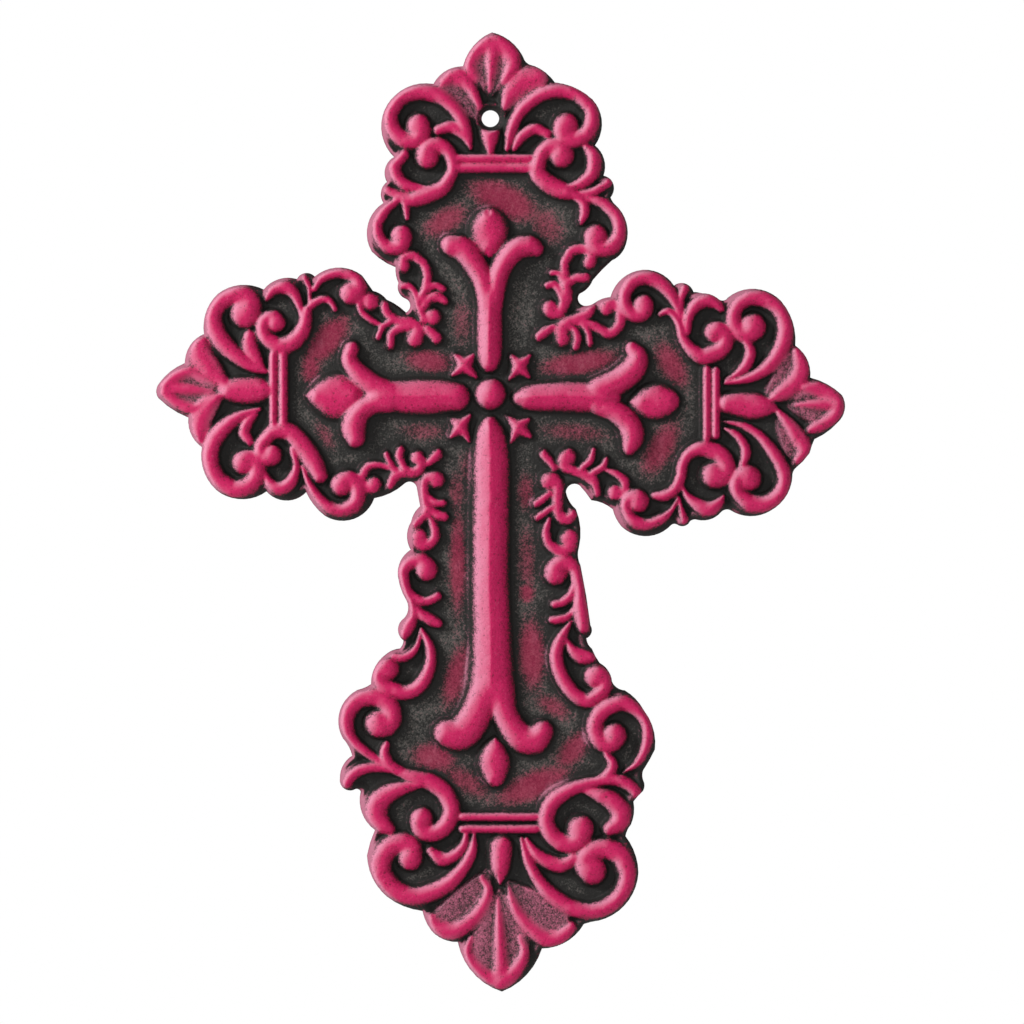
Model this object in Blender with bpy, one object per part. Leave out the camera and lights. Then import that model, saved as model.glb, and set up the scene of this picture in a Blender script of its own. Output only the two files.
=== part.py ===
"""A flat-backed cast iron wall cross with carved scrolls, leaves and a raised fleury cross, hung on one nail.

The front faces -Y, the back lies on Y = 0, +X is to the right and +Z is up. The origin is on the axis of the
hanging hole, at the back face.

The carving is laid out on a front-view grid: x to the right, y down, 958.5 grid steps from the top tip to
the bottom tip and 688.7 from side to side. HEIGHT and WIDTH give the grid its real size. Each ridge is named
by its place and runs through guides of (x, y, half width). A scroll goes on as a spiral into its round eye,
which CURLS gives as (x, y, radius) and a turn in degrees.
"""

import math

import bmesh
import bpy
from mathutils import Vector

for old in list(bpy.data.objects):
    bpy.data.objects.remove(old, do_unlink=True)

# Real sizes in metres
HEIGHT = 0.2794
WIDTH = 0.2006
FIELD_THICKNESS = 0.0040
HOLE_DIAMETER = 0.0051
COLLAR_DIAMETER = 0.0088
COLLAR_RISE = 0.0022
KNOB_DIAMETER = 0.0094
KNOB_RISE = 0.0048
SCROLL_RISE = 0.0036
LEAF_RISE = 0.0030
SPRIG_RISE = 0.0024
ROD_RISE = 0.0030
BUD_RISE = 0.0036
BAR_RISE = 0.0048
PETAL_RISE = 0.0044
STAR_RISE = 0.0028
BED_RISE = 0.0016
CUT_CLEAR = 0.0020
ROOT_DEPTH = 0.0005

# The layout grid of the front view
GRID_HEIGHT = 958.5
GRID_WIDTH = 688.7
HOLE_AT = (490.4, 118.3)
KNOB_AT = (490, 394)

# Shares and counts of the carving
LOWEST_SHARE = 0.42
SHOULDER = 0.75
TIP_REACH = 0.55
TIP_WIDTH = 0.5
WIDE_TIP = 2.4
EYE_CORE = 0.5
EYE_SHARE = 1.08
EYE_SIDES = 8
FINE_SIDES = 2
ROUND_SIDES = 3
BROAD_SIDES = 4
KNOB_SIDES = 12
BUTTON_CROWN = 0.6
HOLE_SIDES = 16
ARC_STEP = math.radians(45)
TURN_STEP = math.radians(62)
WIDTH_STEP = 7
LONGEST_STEP = 70
SPAN_COUNT = 6
CURL_COUNT = 12
SHARP_ANGLE = math.radians(40)

SCROLLS = {
    "top_left_big": [(471, 149, 2), (466, 130, 6.5), (455, 110, 8), (438, 96, 8.5), (418, 92, 9),
        (400, 98, 9), (390, 112, 9)],
    "top_right_big": [(507, 149, 3.5), (511, 130, 6.5), (520, 112, 7), (537, 97, 7.5), (556, 91, 8),
        (576, 94, 8.5), (590, 107, 8.5)],
    "top_left_volute": [(399, 197, 4), (411, 200, 7.5), (427, 195, 9.5), (443, 187, 8.5), (452, 173, 7)],
    "top_left_outer": [(404, 155, 6), (394, 167, 7.5), (399, 180, 7), (411, 187, 6), (428, 188, 2.5)],
    "top_left_small": [(398, 200, 4), (385, 210, 6), (377, 223, 6.5)],
    "top_right_volute": [(575, 195, 5.5), (560, 190, 9.5), (545, 182, 10), (537, 172, 9.5),
        (539, 160, 8.5)],
    "top_right_outer": [(586, 148, 4.5), (593, 157, 8), (592, 173, 8), (581, 183, 6.5), (569, 187, 4)],
    "top_right_small": [(588, 198, 4), (603, 204, 6.5), (615, 214, 8)],
    "left_up_big": [(265, 371, 3.5), (253, 367, 6), (239, 358, 8), (225.5, 346, 10),
        (215.5, 332, 10.5), (212, 318, 10)],
    "left_up_volute": [(307, 310, 5.5), (303, 329, 8.5), (292, 342, 9.5), (279, 346, 9.5), (268, 340, 8)],
    "left_up_outer": [(267, 298, 4), (273, 290, 6.5), (283, 287, 7.5), (293, 293, 6.5),
        (300, 308, 4.5), (302, 318, 3.5)],
    "left_up_small": [(314.5, 289, 3.5), (322, 278, 5.5), (338, 272.5, 6.5), (351, 275, 7)],
    "left_low_big": [(260, 409, 2.5), (249, 412, 4.5), (236, 418, 7), (222, 429, 9), (213, 441, 10),
        (209, 454, 10), (211, 467, 10), (218, 480, 10), (232, 489, 10)],
    "left_low_volute": [(320, 475, 8.5), (312, 460, 10.5), (301, 444, 10.5), (289, 432, 9.5),
        (274, 431, 8.5), (264, 440, 7.5)],
    "left_low_outer": [(265.5, 475, 4), (271, 485, 6.5), (281, 488, 7.5), (291, 481, 7),
        (296, 466, 4.5), (292, 449, 4)],
    "left_low_small": [(302, 466, 2), (308, 481.5, 4), (316, 495, 6), (327, 506, 7), (341, 509.5, 7.5),
        (353, 505, 8.5)],
    "lower_left_hook": [(414, 616, 4), (410, 600, 5.5), (404.5, 585, 6.5), (402, 571, 7.5)],
    "lower_left_long_scroll": [(421, 628, 2), (429, 645, 5.5), (430.5, 660, 6.5), (426, 675, 7.5),
        (417, 687, 8), (404, 692, 8), (391, 688, 8)],
    "lower_left_scroll": [(396, 771, 4), (380, 761, 4.5), (365, 751, 5.5), (352, 739, 6.5),
        (346, 725, 8.5), (348, 710, 9.5), (358, 699, 10), (372, 696, 10)],
    "lower_left_main": [(386, 744, 4.5), (384, 753, 6), (390, 764, 6), (402, 772, 6), (416, 777, 8),
        (431, 782, 9), (444, 792, 9.5), (451, 806, 9.5)],
    "lower_left_outer": [(419, 785, 3.5), (404, 786, 6), (389, 791, 8.5), (377, 800, 11),
        (374, 812, 11.5), (380, 822, 9.5), (389, 827, 6)],
    "lower_left_big": [(474, 834, 2), (472, 850, 4.5), (463, 867, 6.5), (448, 882, 8), (430, 892, 9),
        (410, 895, 10), (392, 888, 11.5), (380, 874, 12.5)],
    "lower_right_big": [(521, 838, 2), (527, 858, 4), (537, 878, 6), (552, 895, 7), (570, 907, 7.5),
        (590, 911, 8.5), (609, 905, 9), (622, 891, 9.5), (627, 874, 10), (622, 857, 10.5)],
    "lower_right_main": [(637, 793, 6.5), (628, 784, 7), (615, 779, 6.5), (600, 780, 6), (583, 784, 7),
        (565, 791, 8.5), (551, 802, 9.5), (545, 817, 9)],
    "lower_right_outer": [(583, 789, 3.5), (598, 795, 6.5), (612, 800, 8.5), (622, 811, 10),
        (620, 822, 9.5), (610, 828, 6.5)],
    "lower_right_scroll": [(623, 772, 1.5), (636, 763, 4.5), (643, 752, 5.5), (647, 738, 6.5),
        (646, 722, 7), (637, 710, 7.5), (622, 702, 8.5), (607, 706, 9.5)],
    "lower_right_long_scroll": [(571, 621, 2), (562, 635, 6), (556, 650, 7.5), (557, 665, 8),
        (563, 680, 8), (574, 694, 8), (587, 700, 8), (599, 693, 8)],
    "lower_right_hook": [(583, 626, 7.5), (581, 612, 9.5), (580, 598, 7.5), (579, 584, 6.5),
        (575, 569, 7.5)],
    "right_up_small": [(680, 318, 2.5), (675, 303, 5.5), (667, 290, 8), (657, 281, 8.5), (644, 277, 8),
        (632, 281, 8.5), (625, 291, 7.5)],
    "right_up_volute": [(660, 314, 3.5), (667, 311, 4.5), (674, 316, 4.5), (679, 326, 5),
        (683, 339, 6), (691, 350, 7.5), (702, 356, 9), (714, 353, 9.5)],
    "right_up_outer": [(721, 309, 4), (714, 302, 7), (704, 300, 8), (694, 306, 7.5), (688, 318, 6),
        (687, 332, 4)],
    "right_up_big": [(724, 383, 2), (741, 380, 4.5), (757, 374, 6.5), (772, 362, 8.5), (782, 345, 9.5),
        (785, 326, 9.5), (779, 310, 9), (766, 300, 9), (751, 297, 9), (739, 303, 8)],
    "right_low_big": [(723, 421, 1.5), (741, 425, 4), (757, 434, 5.5), (770, 449, 7), (780, 465, 8),
        (784, 480, 8.5), (779, 494, 9), (766, 503, 9.5), (750, 503, 9.5), (739, 495, 8)],
    "right_low_volute": [(654, 495, 4.5), (664, 495, 6.5), (674, 489, 6.5), (680, 477, 6.5),
        (682, 464, 6.5), (689, 453, 7), (702, 448, 8.5), (715, 452, 9.5)],
    "right_low_outer": [(681, 485, 2.5), (687, 496, 4.5), (696, 504, 7), (707, 508.5, 8.5),
        (717, 504, 6.5), (723, 496, 2.5)],
    "right_low_small": [(678, 497, 2), (671, 510, 3.5), (660, 519, 6), (645, 524, 6.5), (631, 519, 7),
        (624.5, 508, 6.5)],
}

LEAVES = {
    "top_rib": [(490, 91, 2.5), (491, 70, 6), (492, 50, 8.5), (492, 43, 8.5)],
    "top_left_rim": [(477, 77, 3.5), (472, 65, 6.5), (476, 53, 8.5), (486, 43, 9)],
    "top_right_rim": [(503, 80, 3.5), (510, 65, 8), (507, 53, 9), (498, 43, 9)],
    "top_left_side_leaf": [(444, 82, 7), (453, 76, 10.5), (464, 80, 9.5), (473, 93, 6.5), (480, 108, 4)],
    "top_right_side_leaf": [(537, 78, 11.5), (522, 82, 14), (510, 94, 10.5), (505, 106, 5)],
    "top_left_inner_leaf": [(470, 148, 2.5), (463, 135, 6), (451, 127, 7), (438, 130, 6)],
    "top_right_inner_leaf": [(514, 149, 3.5), (521, 137, 6.5), (534, 129, 6.5), (547, 134, 5.5)],
    "left_rib": [(212, 391, 2), (196, 390, 5.5), (180, 388.5, 7), (166, 387, 8.5)],
    "left_up_rim": [(203, 380, 3.5), (190, 371.5, 6), (176, 376, 8), (165, 385, 7)],
    "left_low_rim": [(206, 400, 2.5), (192, 408, 6), (177, 402.5, 7), (165, 393, 7)],
    "left_up_side_leaf": [(199, 344, 11.5), (201, 357, 14), (210, 370, 13), (223, 382, 7)],
    "left_low_side_leaf": [(219, 397, 5), (208, 405, 10.5), (201, 417, 12), (199, 430, 10.5),
        (200, 441, 5.5)],
    "left_up_inner": [(249, 336, 7), (249, 345, 9), (254, 356, 8), (265, 370, 2)],
    "lower_left_down": [(412, 600, 4), (413, 614, 5), (408, 626, 8), (403, 635, 6)],
    "lower_left_leaf": [(346, 783, 6), (352, 774, 7), (363, 768, 6.5), (378, 767, 5), (394, 770, 3.5)],
    "lower_left_inner": [(466, 834, 2.5), (463, 845, 4.5), (453, 854, 5.5), (441, 857, 6), (430, 848, 4)],
    "lower_left_side": [(481, 876, 3.5), (488, 889, 5.5), (482, 906, 8), (469, 921, 9),
        (453, 930, 9.5), (438, 927, 9.5), (431, 916, 5)],
    "lower_rib": [(498, 898, 2), (499, 925, 6), (500, 950, 8), (500, 978, 10.5)],
    "lower_left_rim": [(471, 937, 3.5), (467, 950, 6), (473, 964, 8), (485, 975, 9), (497, 981, 8.5)],
    "lower_right_rim": [(520, 937, 3.5), (524, 951, 6), (519, 964, 8), (511, 974, 9), (502, 981, 8.5)],
    "lower_right_side": [(508, 886, 2), (512, 900, 5), (520, 915, 7), (532, 929, 8.5), (546, 938, 9),
        (560, 936, 9.5), (571, 926, 6)],
    "lower_right_inner": [(526, 838, 2), (535, 852, 4.5), (548, 861, 6), (562, 864, 6.5),
        (573, 858, 4.5)],
    "lower_right_between": [(566, 638, 2.5), (572, 650, 6), (582, 656, 8.5), (592, 657, 5.5)],
    "right_up_inner": [(746, 342, 5), (750, 352, 6.5), (746, 364, 6.5), (737, 373, 4.5), (725, 380, 2)],
    "right_up_side": [(797, 352, 7), (801, 366, 10.5), (796, 380, 11.5), (784, 391, 10), (771, 398, 4)],
    "right_rib": [(795, 404.5, 2.5), (815, 404, 6), (836, 404, 8.5)],
    "right_tip_up": [(804, 387, 5), (819, 388, 8), (832, 394, 8.5), (839, 402, 6)],
    "right_low_side": [(778, 412, 3.5), (789, 424, 6), (799, 438, 7), (805, 451, 7), (798, 461, 5)],
    "right_low_inner": [(724, 428, 2), (736, 435, 5), (744, 446, 6), (745, 456, 6), (742, 464, 4.5)],
}

SPRIGS = {
    "top_left_sprig_curl": [(421, 300, 4), (425, 287, 4.5), (427, 277, 5.5), (424, 265, 5.5),
        (415, 256.5, 5.5)],
    "top_left_sprig_stem": [(400.5, 285.5, 4), (409, 286.5, 4), (415, 294, 4), (418, 306, 4),
        (423, 319, 4.5)],
    "top_right_sprig_curl": [(566, 292, 6), (565, 278, 5.5), (564, 264, 5.5), (570, 252, 6)],
    "top_right_sprig_lower": [(566, 285, 5.5), (566.5, 299, 6), (560, 311, 6.5)],
    "left_upper_sprig_curl": [(381.5, 325.5, 2.5), (371, 320, 3.5), (361, 312, 4), (359, 302, 4)],
    "left_upper_sprig_band": [(384, 306, 4.5), (387, 314, 5.5), (396, 320, 4.5), (407, 321, 4.5)],
    "left_lower_sprig_curl": [(395, 469.5, 3.5), (381, 465, 3.5), (368, 466, 4.5), (361.5, 476, 5.5)],
    "left_lower_sprig_band": [(390, 484.5, 4.5), (394, 476.5, 6), (403, 472, 6), (414, 472, 6)],
    "lower_left_stem_curl": [(427.5, 512, 5.5), (424.5, 502, 5.5), (423.5, 491, 5.5), (424, 481, 5)],
    "lower_left_stem_scroll": [(429, 517, 2.5), (433.5, 526.5, 4.5), (435, 536, 5.5)],
    "lower_right_stem_curl": [(573, 514, 5.5), (566, 519, 6.5), (558, 513, 6.5), (557, 500, 6.5),
        (557.5, 486, 6.5)],
    "lower_right_stem_scroll": [(549, 519, 2.5), (545.5, 531, 4.5), (548, 543, 5.5), (557, 550, 6.5)],
    "right_upper_sprig_fat": [(591, 306, 5.5), (586.5, 313.5, 6.5), (577, 318, 6), (567, 322, 6.5),
        (561, 329, 8.5), (562, 338, 9)],
    "right_upper_sprig_curl": [(583, 321, 2.5), (594, 326, 4.5), (609, 333, 6), (619, 324, 6.5),
        (620, 312, 6)],
    "right_lower_sprig_curl": [(597, 493, 4), (593, 481, 6), (584, 474.5, 5.5), (573, 470.5, 4.5),
        (564, 467, 5.5)],
    "right_lower_sprig_small": [(607, 470, 2.5), (616, 474, 4), (624, 481, 5.5), (624.5, 489, 5.5)],
}

RODS = {
    "top_rod": [(459, 158.5, 4), (529, 158.5, 4)],
    "top_rod2": [(459, 168, 4.5), (529, 168, 4.5)],
    "left_rod": [(273, 355, 4), (273, 424, 4)],
    "left_rod2": [(283, 355, 4.5), (283, 424, 4.5)],
    "lower_rod": [(462, 816, 4), (535, 816, 4)],
    "lower_rod2": [(462, 828, 4), (535, 828, 4)],
    "right_rod": [(706.3, 370, 4), (706.3, 437, 4)],
    "right_rod2": [(715.5, 371, 4), (715.5, 435, 4)],
}

BUDS = {
    "top_drop": [(489.5, 134, 10.5), (490, 150, 5.5)],
    "left_bud": [(219, 389.5, 2.5), (230, 389.5, 11), (245, 390, 14), (257, 390, 13), (264, 390, 9)],
    "lower_bud": [(500.5, 842, 12.5), (500, 855, 13.5), (500, 867, 10.5), (500, 880, 2.5)],
    "right_bud": [(727, 403, 10), (740, 404, 12.5), (753, 406, 13.5), (766, 407, 9), (776, 408, 2.5)],
    "cross_top_bud": [(488, 213, 4.5), (488, 221, 13.5), (488.5, 231, 19.5), (489, 243, 12.5),
        (490, 256, 2.5)],
    "cross_left_bud": [(307, 395.5, 2.5), (321, 395.5, 13), (337, 396, 22.5), (350, 395.5, 13),
        (361, 394.5, 2.5)],
    "cross_right_bud": [(630, 402.5, 2), (641, 402, 10.5), (654, 401.5, 19), (666, 401, 14),
        (674, 400.5, 5.5)],
    "cross_bottom_bud": [(495, 738, 2), (494, 749, 10), (493.5, 761, 16), (494.5, 773, 12.5),
        (496, 780, 6.5)],
}

BARS = {
    "cross_top_shaft": [(489, 366, 10), (489, 352, 13), (489, 320, 13.5), (490, 295, 12)],
    "cross_left_bar": [(463, 397, 13.5), (448, 396, 17), (425, 396.5, 18), (400, 396, 16.5),
        (382, 396, 14), (372, 396, 8)],
    "cross_right_bar": [(519, 398, 8), (532, 397, 13.5), (560, 396, 15.5), (590, 397, 15.5),
        (603, 398, 13.5)],
    "cross_shaft": [(489, 424, 9), (490, 438, 15.5), (490.5, 465, 18.5), (490, 520, 19),
        (489.5, 580, 19), (491, 640, 20), (491, 690, 23.5)],
}

PETALS = {
    "cross_top_left_petal": [(486, 305, 9), (483, 282, 11), (474, 264, 12), (462, 249, 12.5),
        (450, 245, 10.5)],
    "cross_top_right_petal": [(494, 305, 9), (497, 280, 10.5), (504, 262, 11), (516, 249, 11.5),
        (528, 246, 11), (536, 249, 8)],
    "cross_left_upper_petal": [(388, 391, 10.5), (374, 386, 11.5), (359, 374, 10.5), (349, 360, 9),
        (351, 349, 8.5)],
    "cross_left_lower_petal": [(388, 402, 10.5), (373, 404, 10.5), (360, 411, 11.5), (353, 425, 13),
        (355, 437, 10.5)],
    "cross_right_upper_petal": [(598, 389, 12.5), (617, 381, 13.5), (631, 370, 13.5), (637, 358, 11),
        (631, 348, 7)],
    "cross_right_lower_petal": [(598, 406, 9.5), (614, 411, 11), (627, 422, 12), (632, 436, 12),
        (629, 448, 7.5)],
    "cross_bottom_left_petal": [(484, 690, 15.5), (474, 716, 16.5), (461, 732, 17), (446, 732, 13.5)],
    "cross_bottom_right_petal": [(500, 690, 14.5), (505, 714, 13), (518, 735, 14), (533, 739, 14.5),
        (542, 731, 11.5)],
}

STARS = {
    "cross_star1a": [(455, 356, 3), (465, 366, 9.5), (477, 378, 1.5)],
    "cross_star1b": [(475, 354, 2), (465, 366, 9), (451, 375, 1.5)],
    "cross_star2a": [(530, 356, 3), (519, 367, 9.5), (508, 380, 2)],
    "cross_star2b": [(511, 355, 2), (519, 367, 9), (530, 378, 1.5)],
    "cross_star3a": [(450, 437, 3), (460, 426, 9.5), (471, 414, 1.5)],
    "cross_star3b": [(448, 418, 1.5), (460, 426, 9), (470, 441, 1.5)],
    "cross_star4a": [(505, 416, 1.5), (517, 427, 9), (531, 437, 3)],
    "cross_star4b": [(531, 418, 1.5), (517, 427, 9), (510, 443, 2)],
}

LEAF_BEDS = {
    "top_tip_leaf_bed": [(491, 94, 3), (491, 80, 12), (491, 64, 21), (491, 48, 14)],
    "top_left_side_leaf_bed": [(479, 118, 4), (466, 101, 11), (453, 84, 15)],
    "top_right_side_leaf_bed": [(506, 108, 4), (518, 92, 13), (534, 78, 13)],
    "left_tip_leaf_bed": [(216, 392, 3), (200, 391, 13), (184, 389.5, 19), (170, 388, 11)],
    "left_upper_side_leaf_bed": [(226, 386, 4), (210, 374, 12), (200, 360, 13), (199, 348, 9)],
    "left_lower_side_leaf_bed": [(222, 394, 3), (209, 404, 10), (201, 418, 11), (200, 433, 8)],
    "bottom_tip_leaf_bed": [(500, 893, 4), (500, 920, 18), (500, 948, 27), (501, 972, 15)],
    "bottom_left_side_leaf_bed": [(488, 874, 4), (472, 899, 16), (451, 920, 17), (442, 926, 12)],
    "bottom_right_side_leaf_bed": [(510, 884, 4), (530, 904, 15), (551, 917, 15), (557, 920, 12)],
    "right_tip_leaf_bed": [(790, 404, 3), (806, 404, 13), (822, 405, 19), (835, 405, 10)],
    "right_upper_side_leaf_bed": [(768, 399, 3), (779, 389, 11), (791, 373, 14), (794, 360, 9)],
    "right_lower_side_leaf_bed": [(780, 413, 3), (788, 429, 10), (795, 444, 12), (797, 455, 7)],
}

CURLS = {
    "top_left_big": ((418, 126, 12), 170), "top_right_big": ((565, 126, 13), 170),
    "top_left_volute": ((427, 157, 12), 150), "top_left_small": ((401, 236, 11), 160),
    "top_right_volute": ((561, 155, 13), 100), "top_right_small": ((595, 237, 12.5), 170),
    "left_up_big": ((245, 313, 15), 160), "left_up_volute": ((276, 323, 9.5), 170),
    "left_up_small": ((350, 293, 11.5), 110), "left_low_big": ((243, 462, 12), 170),
    "left_low_volute": ((271.5, 455, 10.5), 120), "left_low_small": ((341, 484.5, 11.5), 140),
    "lower_left_hook": ((426, 569, 11.5), 90), "lower_left_long_scroll": ((388, 668, 11.5), 130),
    "lower_left_scroll": ((378, 723, 13.5), 150), "lower_left_main": ((421, 818, 11.5), 150),
    "lower_left_big": ((410, 857, 12.5), 160), "lower_right_big": ((592, 870, 14), 150),
    "lower_right_main": ((580, 828, 13.5), 130), "lower_right_scroll": ((614, 735, 12.5), 170),
    "lower_right_long_scroll": ((595, 676, 12), 110), "lower_right_hook": ((555, 572, 12.5), 90),
    "right_up_small": ((643, 305, 10.5), 170), "right_up_volute": ((714, 332, 11), 130),
    "right_up_big": ((752, 327, 13.5), 140), "right_low_big": ((749, 478, 12.5), 120),
    "right_low_volute": ((713, 475, 13), 130), "right_low_small": ((638, 501, 11), 110),
    "top_left_sprig_curl": ((403.5, 266, 7.5), 90), "top_left_sprig_stem": ((432.5, 317, 9), 0),
    "top_right_sprig_curl": ((589, 262, 8), 100), "top_right_sprig_lower": ((549, 308.5, 9), 60),
    "left_upper_sprig_curl": ((370.5, 302, 9), 60), "left_upper_sprig_band": ((414.5, 338, 9.5), 70),
    "left_lower_sprig_curl": ((373.5, 484, 8.5), 100), "left_lower_sprig_band": ((416.5, 457.5, 8), 80),
    "lower_left_stem_curl": ((436, 479.5, 9), 60), "lower_left_stem_scroll": ((418, 537, 9.5), 110),
    "lower_right_stem_curl": ((548, 480.5, 10), 60), "lower_right_stem_scroll": ((568, 538, 10), 90),
    "right_upper_sprig_curl": ((606, 307, 9), 80), "right_lower_sprig_curl": ((567, 457, 9.5), 60),
    "right_lower_sprig_small": ((613.5, 492, 8.5), 60),
}

EDGE_START = (492, 32.5)
EDGE = [
    ((475, 44.5), (463, 66.5)), ((446, 71), (433.5, 84)), ((414, 85), (395.5, 95.5)),
    ((381.3, 124), (394.5, 157)), ((386, 166), (387, 182)), ((381, 192), (383.5, 203)),
    ((368, 224), (371.5, 251)), ((380, 258.5), (395.5, 266.8)), ((396, 275), (398.5, 283)),
    ((398.2, 290.5), (405, 298)), ((410.2, 306), (406, 312.4)), ((397, 305), (386.7, 299.5)),
    ((380.5, 293.8), (373, 290.8)), ((367.5, 283), (362.2, 275.5)), ((341, 267.6), (314.8, 276.5)),
    ((305.5, 273), (297, 279)), ((281, 278.5), (263.8, 289.4)), ((240, 285), (218, 294)),
    ((207, 310), (204, 334)), ((192, 343), (184.8, 363)), ((171, 371), (159.2, 383.3)),
    ((156.3, 390.5), (158.5, 398)), ((169, 407), (188.4, 417.5)), ((190.3, 432), (202, 447)),
    ((204, 471), (216.3, 489.8)), ((240, 499), (266.3, 491)), ((284, 500.3), (306, 491.7)),
    ((313, 503.5), (325, 515.7)), ((350, 519.8), (374, 498)), ((390, 493), (404, 483.7)),
    ((413.5, 482.6), (417, 488.5)), ((418.5, 497), (420.2, 506)), ((414, 513.5), (411.2, 521.4)),
    ((407, 535), (410.7, 549.5)), ((400, 562), (398, 576)), ((401.5, 590), (407, 601)),
    ((408.3, 608), (404, 618)), ((398.2, 627), (403.5, 640)), ((402.5, 644.5), (399.5, 648.5)),
    ((392, 650.3), (386, 654)), ((376.5, 664), (371, 684)), ((364, 687.8), (357, 690)),
    ((338.8, 715), (343, 738)), ((349, 746.5), (352.3, 755.5)), ((342.5, 766), (340, 778)),
    ((344, 788), (354, 789.4)), ((357.5, 788.6), (360.7, 791)), ((361.5, 811), (375, 829.5)),
    ((370.5, 841), (367, 855)), ((372, 876), (387, 896)), ((402, 905), (422.5, 910.5)),
    ((425.5, 920), (431.5, 930)), ((441, 937.5), (457.8, 941.5)), ((472, 971), (502, 991)),
    ((524, 977), (542, 948)), ((563, 943), (584, 923.5)), ((590, 921.7), (599, 920)),
    ((627, 902), (638.5, 872)), ((636, 856), (625.5, 836)), ((627, 830.5), (631, 824)),
    ((634, 813), (633.5, 801)), ((637, 796.5), (643, 790.5)), ((644.5, 786), (643.3, 780)),
    ((642.4, 775), (643.2, 770)), ((649, 760.5), (655, 749)), ((653.5, 729), (644, 710)),
    ((634, 697), (625, 690.3)), ((617, 687.5), (612, 681)), ((609, 671.5), (600, 663)),
    ((595.5, 656), (592, 648.5)), ((588, 643.5), (586.5, 638)), ((591.5, 632.5), (590.5, 625)),
    ((586.5, 597), (580.5, 565)), ((578, 556), (579, 547)), ((580.6, 530), (576, 509)),
    ((570, 502), (566, 492)), ((572, 484), (580, 485.3)), ((586.5, 493), (591.5, 500)),
    ((602, 502.5), (613, 509)), ((616.5, 518.5), (622, 526.5)), ((645, 536), (671, 525)),
    ((674.5, 523.6), (678, 524.7)), ((683, 526), (690, 521)), ((694, 519.3), (698, 519.7)),
    ((709, 519.5), (721, 512)), ((726, 509.3), (731, 510)), ((750, 516), (770, 510.8)),
    ((786, 496), (792.5, 476)), ((793.2, 471.5), (795.5, 468)), ((803.5, 460.5), (809.5, 453)),
    ((812, 445), (814.5, 439)), ((827, 432), (838, 422)), ((845, 406), (842, 395)),
    ((828, 384.5), (810.3, 377.5)), ((807.5, 360), (795.3, 345.5)), ((793, 323), (781, 301)),
    ((755, 288.8), (728, 297.5)), ((723.5, 300.5), (719, 299.5)), ((711, 294.7), (702, 293.3)),
    ((698, 292.3), (693.5, 292)), ((684, 283.2), (674, 285.5)), ((661, 273.7), (643, 269.8)),
    ((624, 277), (610.5, 297)), ((602, 298.8), (594.5, 303)), ((590, 305.2), (584.5, 305.7)),
    ((578.2, 300), (580, 293.1)), ((588, 287.5), (593, 279.5)), ((602, 269.5), (612, 260)),
    ((619, 255.5), (624.5, 248.2)), ((627.5, 228), (615.3, 204.8)), ((612.5, 201.5), (610.5, 197)),
    ((614, 187), (603.6, 175.7)), ((604.8, 162), (594.8, 145.3)), ((602, 122), (592.4, 99.6)),
    ((577, 89), (555, 82.5)), ((546, 73), (534, 66)), ((529, 64.4), (525, 61)), ((514, 44.5), (492, 32.5)),
]

# Each family of ridges: rise at full width, the half width where it is reached, and faces across
FAMILIES = (
    (SCROLLS, SCROLL_RISE, 9.0, ROUND_SIDES),
    (LEAVES, LEAF_RISE, 7.0, FINE_SIDES),
    (SPRIGS, SPRIG_RISE, 5.0, FINE_SIDES),
    (RODS, ROD_RISE, 4.0, ROUND_SIDES),
    (BUDS, BUD_RISE, 11.0, ROUND_SIDES),
    (BARS, BAR_RISE, 14.0, BROAD_SIDES),
    (PETALS, PETAL_RISE, 12.0, ROUND_SIDES),
    (STARS, STAR_RISE, 9.0, FINE_SIDES),
    (LEAF_BEDS, BED_RISE, 12.0, ROUND_SIDES),
)


def place(x, y, rise):
    """A grid place and a rise over the back face, as a point of the part in metres."""
    return Vector(
        (
            (x - HOLE_AT[0]) * WIDTH / GRID_WIDTH,
            -rise,
            (HOLE_AT[1] - y) * HEIGHT / GRID_HEIGHT,
        )
    )


def arc_points(start, crown, end):
    """The points after start of the arc that runs from start over crown to end."""
    (ax, ay), (bx, by), (cx, cy) = start, crown, end
    double = 2 * (ax * (by - cy) + bx * (cy - ay) + cx * (ay - by))
    a2, b2, c2 = ax * ax + ay * ay, bx * bx + by * by, cx * cx + cy * cy
    mid_x = (a2 * (by - cy) + b2 * (cy - ay) + c2 * (ay - by)) / double
    mid_y = (a2 * (cx - bx) + b2 * (ax - cx) + c2 * (bx - ax)) / double
    first = math.atan2(ay - mid_y, ax - mid_x)
    sweep = (math.atan2(cy - mid_y, cx - mid_x) - first) % math.tau
    if (bx - ax) * (cy - ay) < (by - ay) * (cx - ax):
        sweep -= math.tau
    radius = math.hypot(ax - mid_x, ay - mid_y)
    count = max(2, math.ceil(abs(sweep) / ARC_STEP))
    angles = [first + sweep * step / count for step in range(1, count + 1)]
    return [(mid_x + radius * math.cos(a), mid_y + radius * math.sin(a)) for a in angles]


def blend(a, b, c, d, t):
    """The value a share t of the way from b to c on the smooth curve that also passes a and d."""
    slope = c - a
    bend = 2 * a - 5 * b + 4 * c - d
    twist = 3 * b - a - 3 * c + d
    return b + 0.5 * (slope * t + bend * t**2 + twist * t**3)


def smooth_run(guides):
    """A smooth run of (x, y, half width) through the guides."""
    before = tuple(2 * a - b for a, b in zip(guides[0], guides[1]))
    after = tuple(2 * a - b for a, b in zip(guides[-1], guides[-2]))
    line = [before, *guides, after]
    run = []
    for four in zip(line, line[1:], line[2:], line[3:]):
        for step in range(SPAN_COUNT):
            t = step / SPAN_COUNT
            run.append(tuple(blend(*numbers, t) for numbers in zip(*four)))
    return run + [tuple(guides[-1])]


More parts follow.
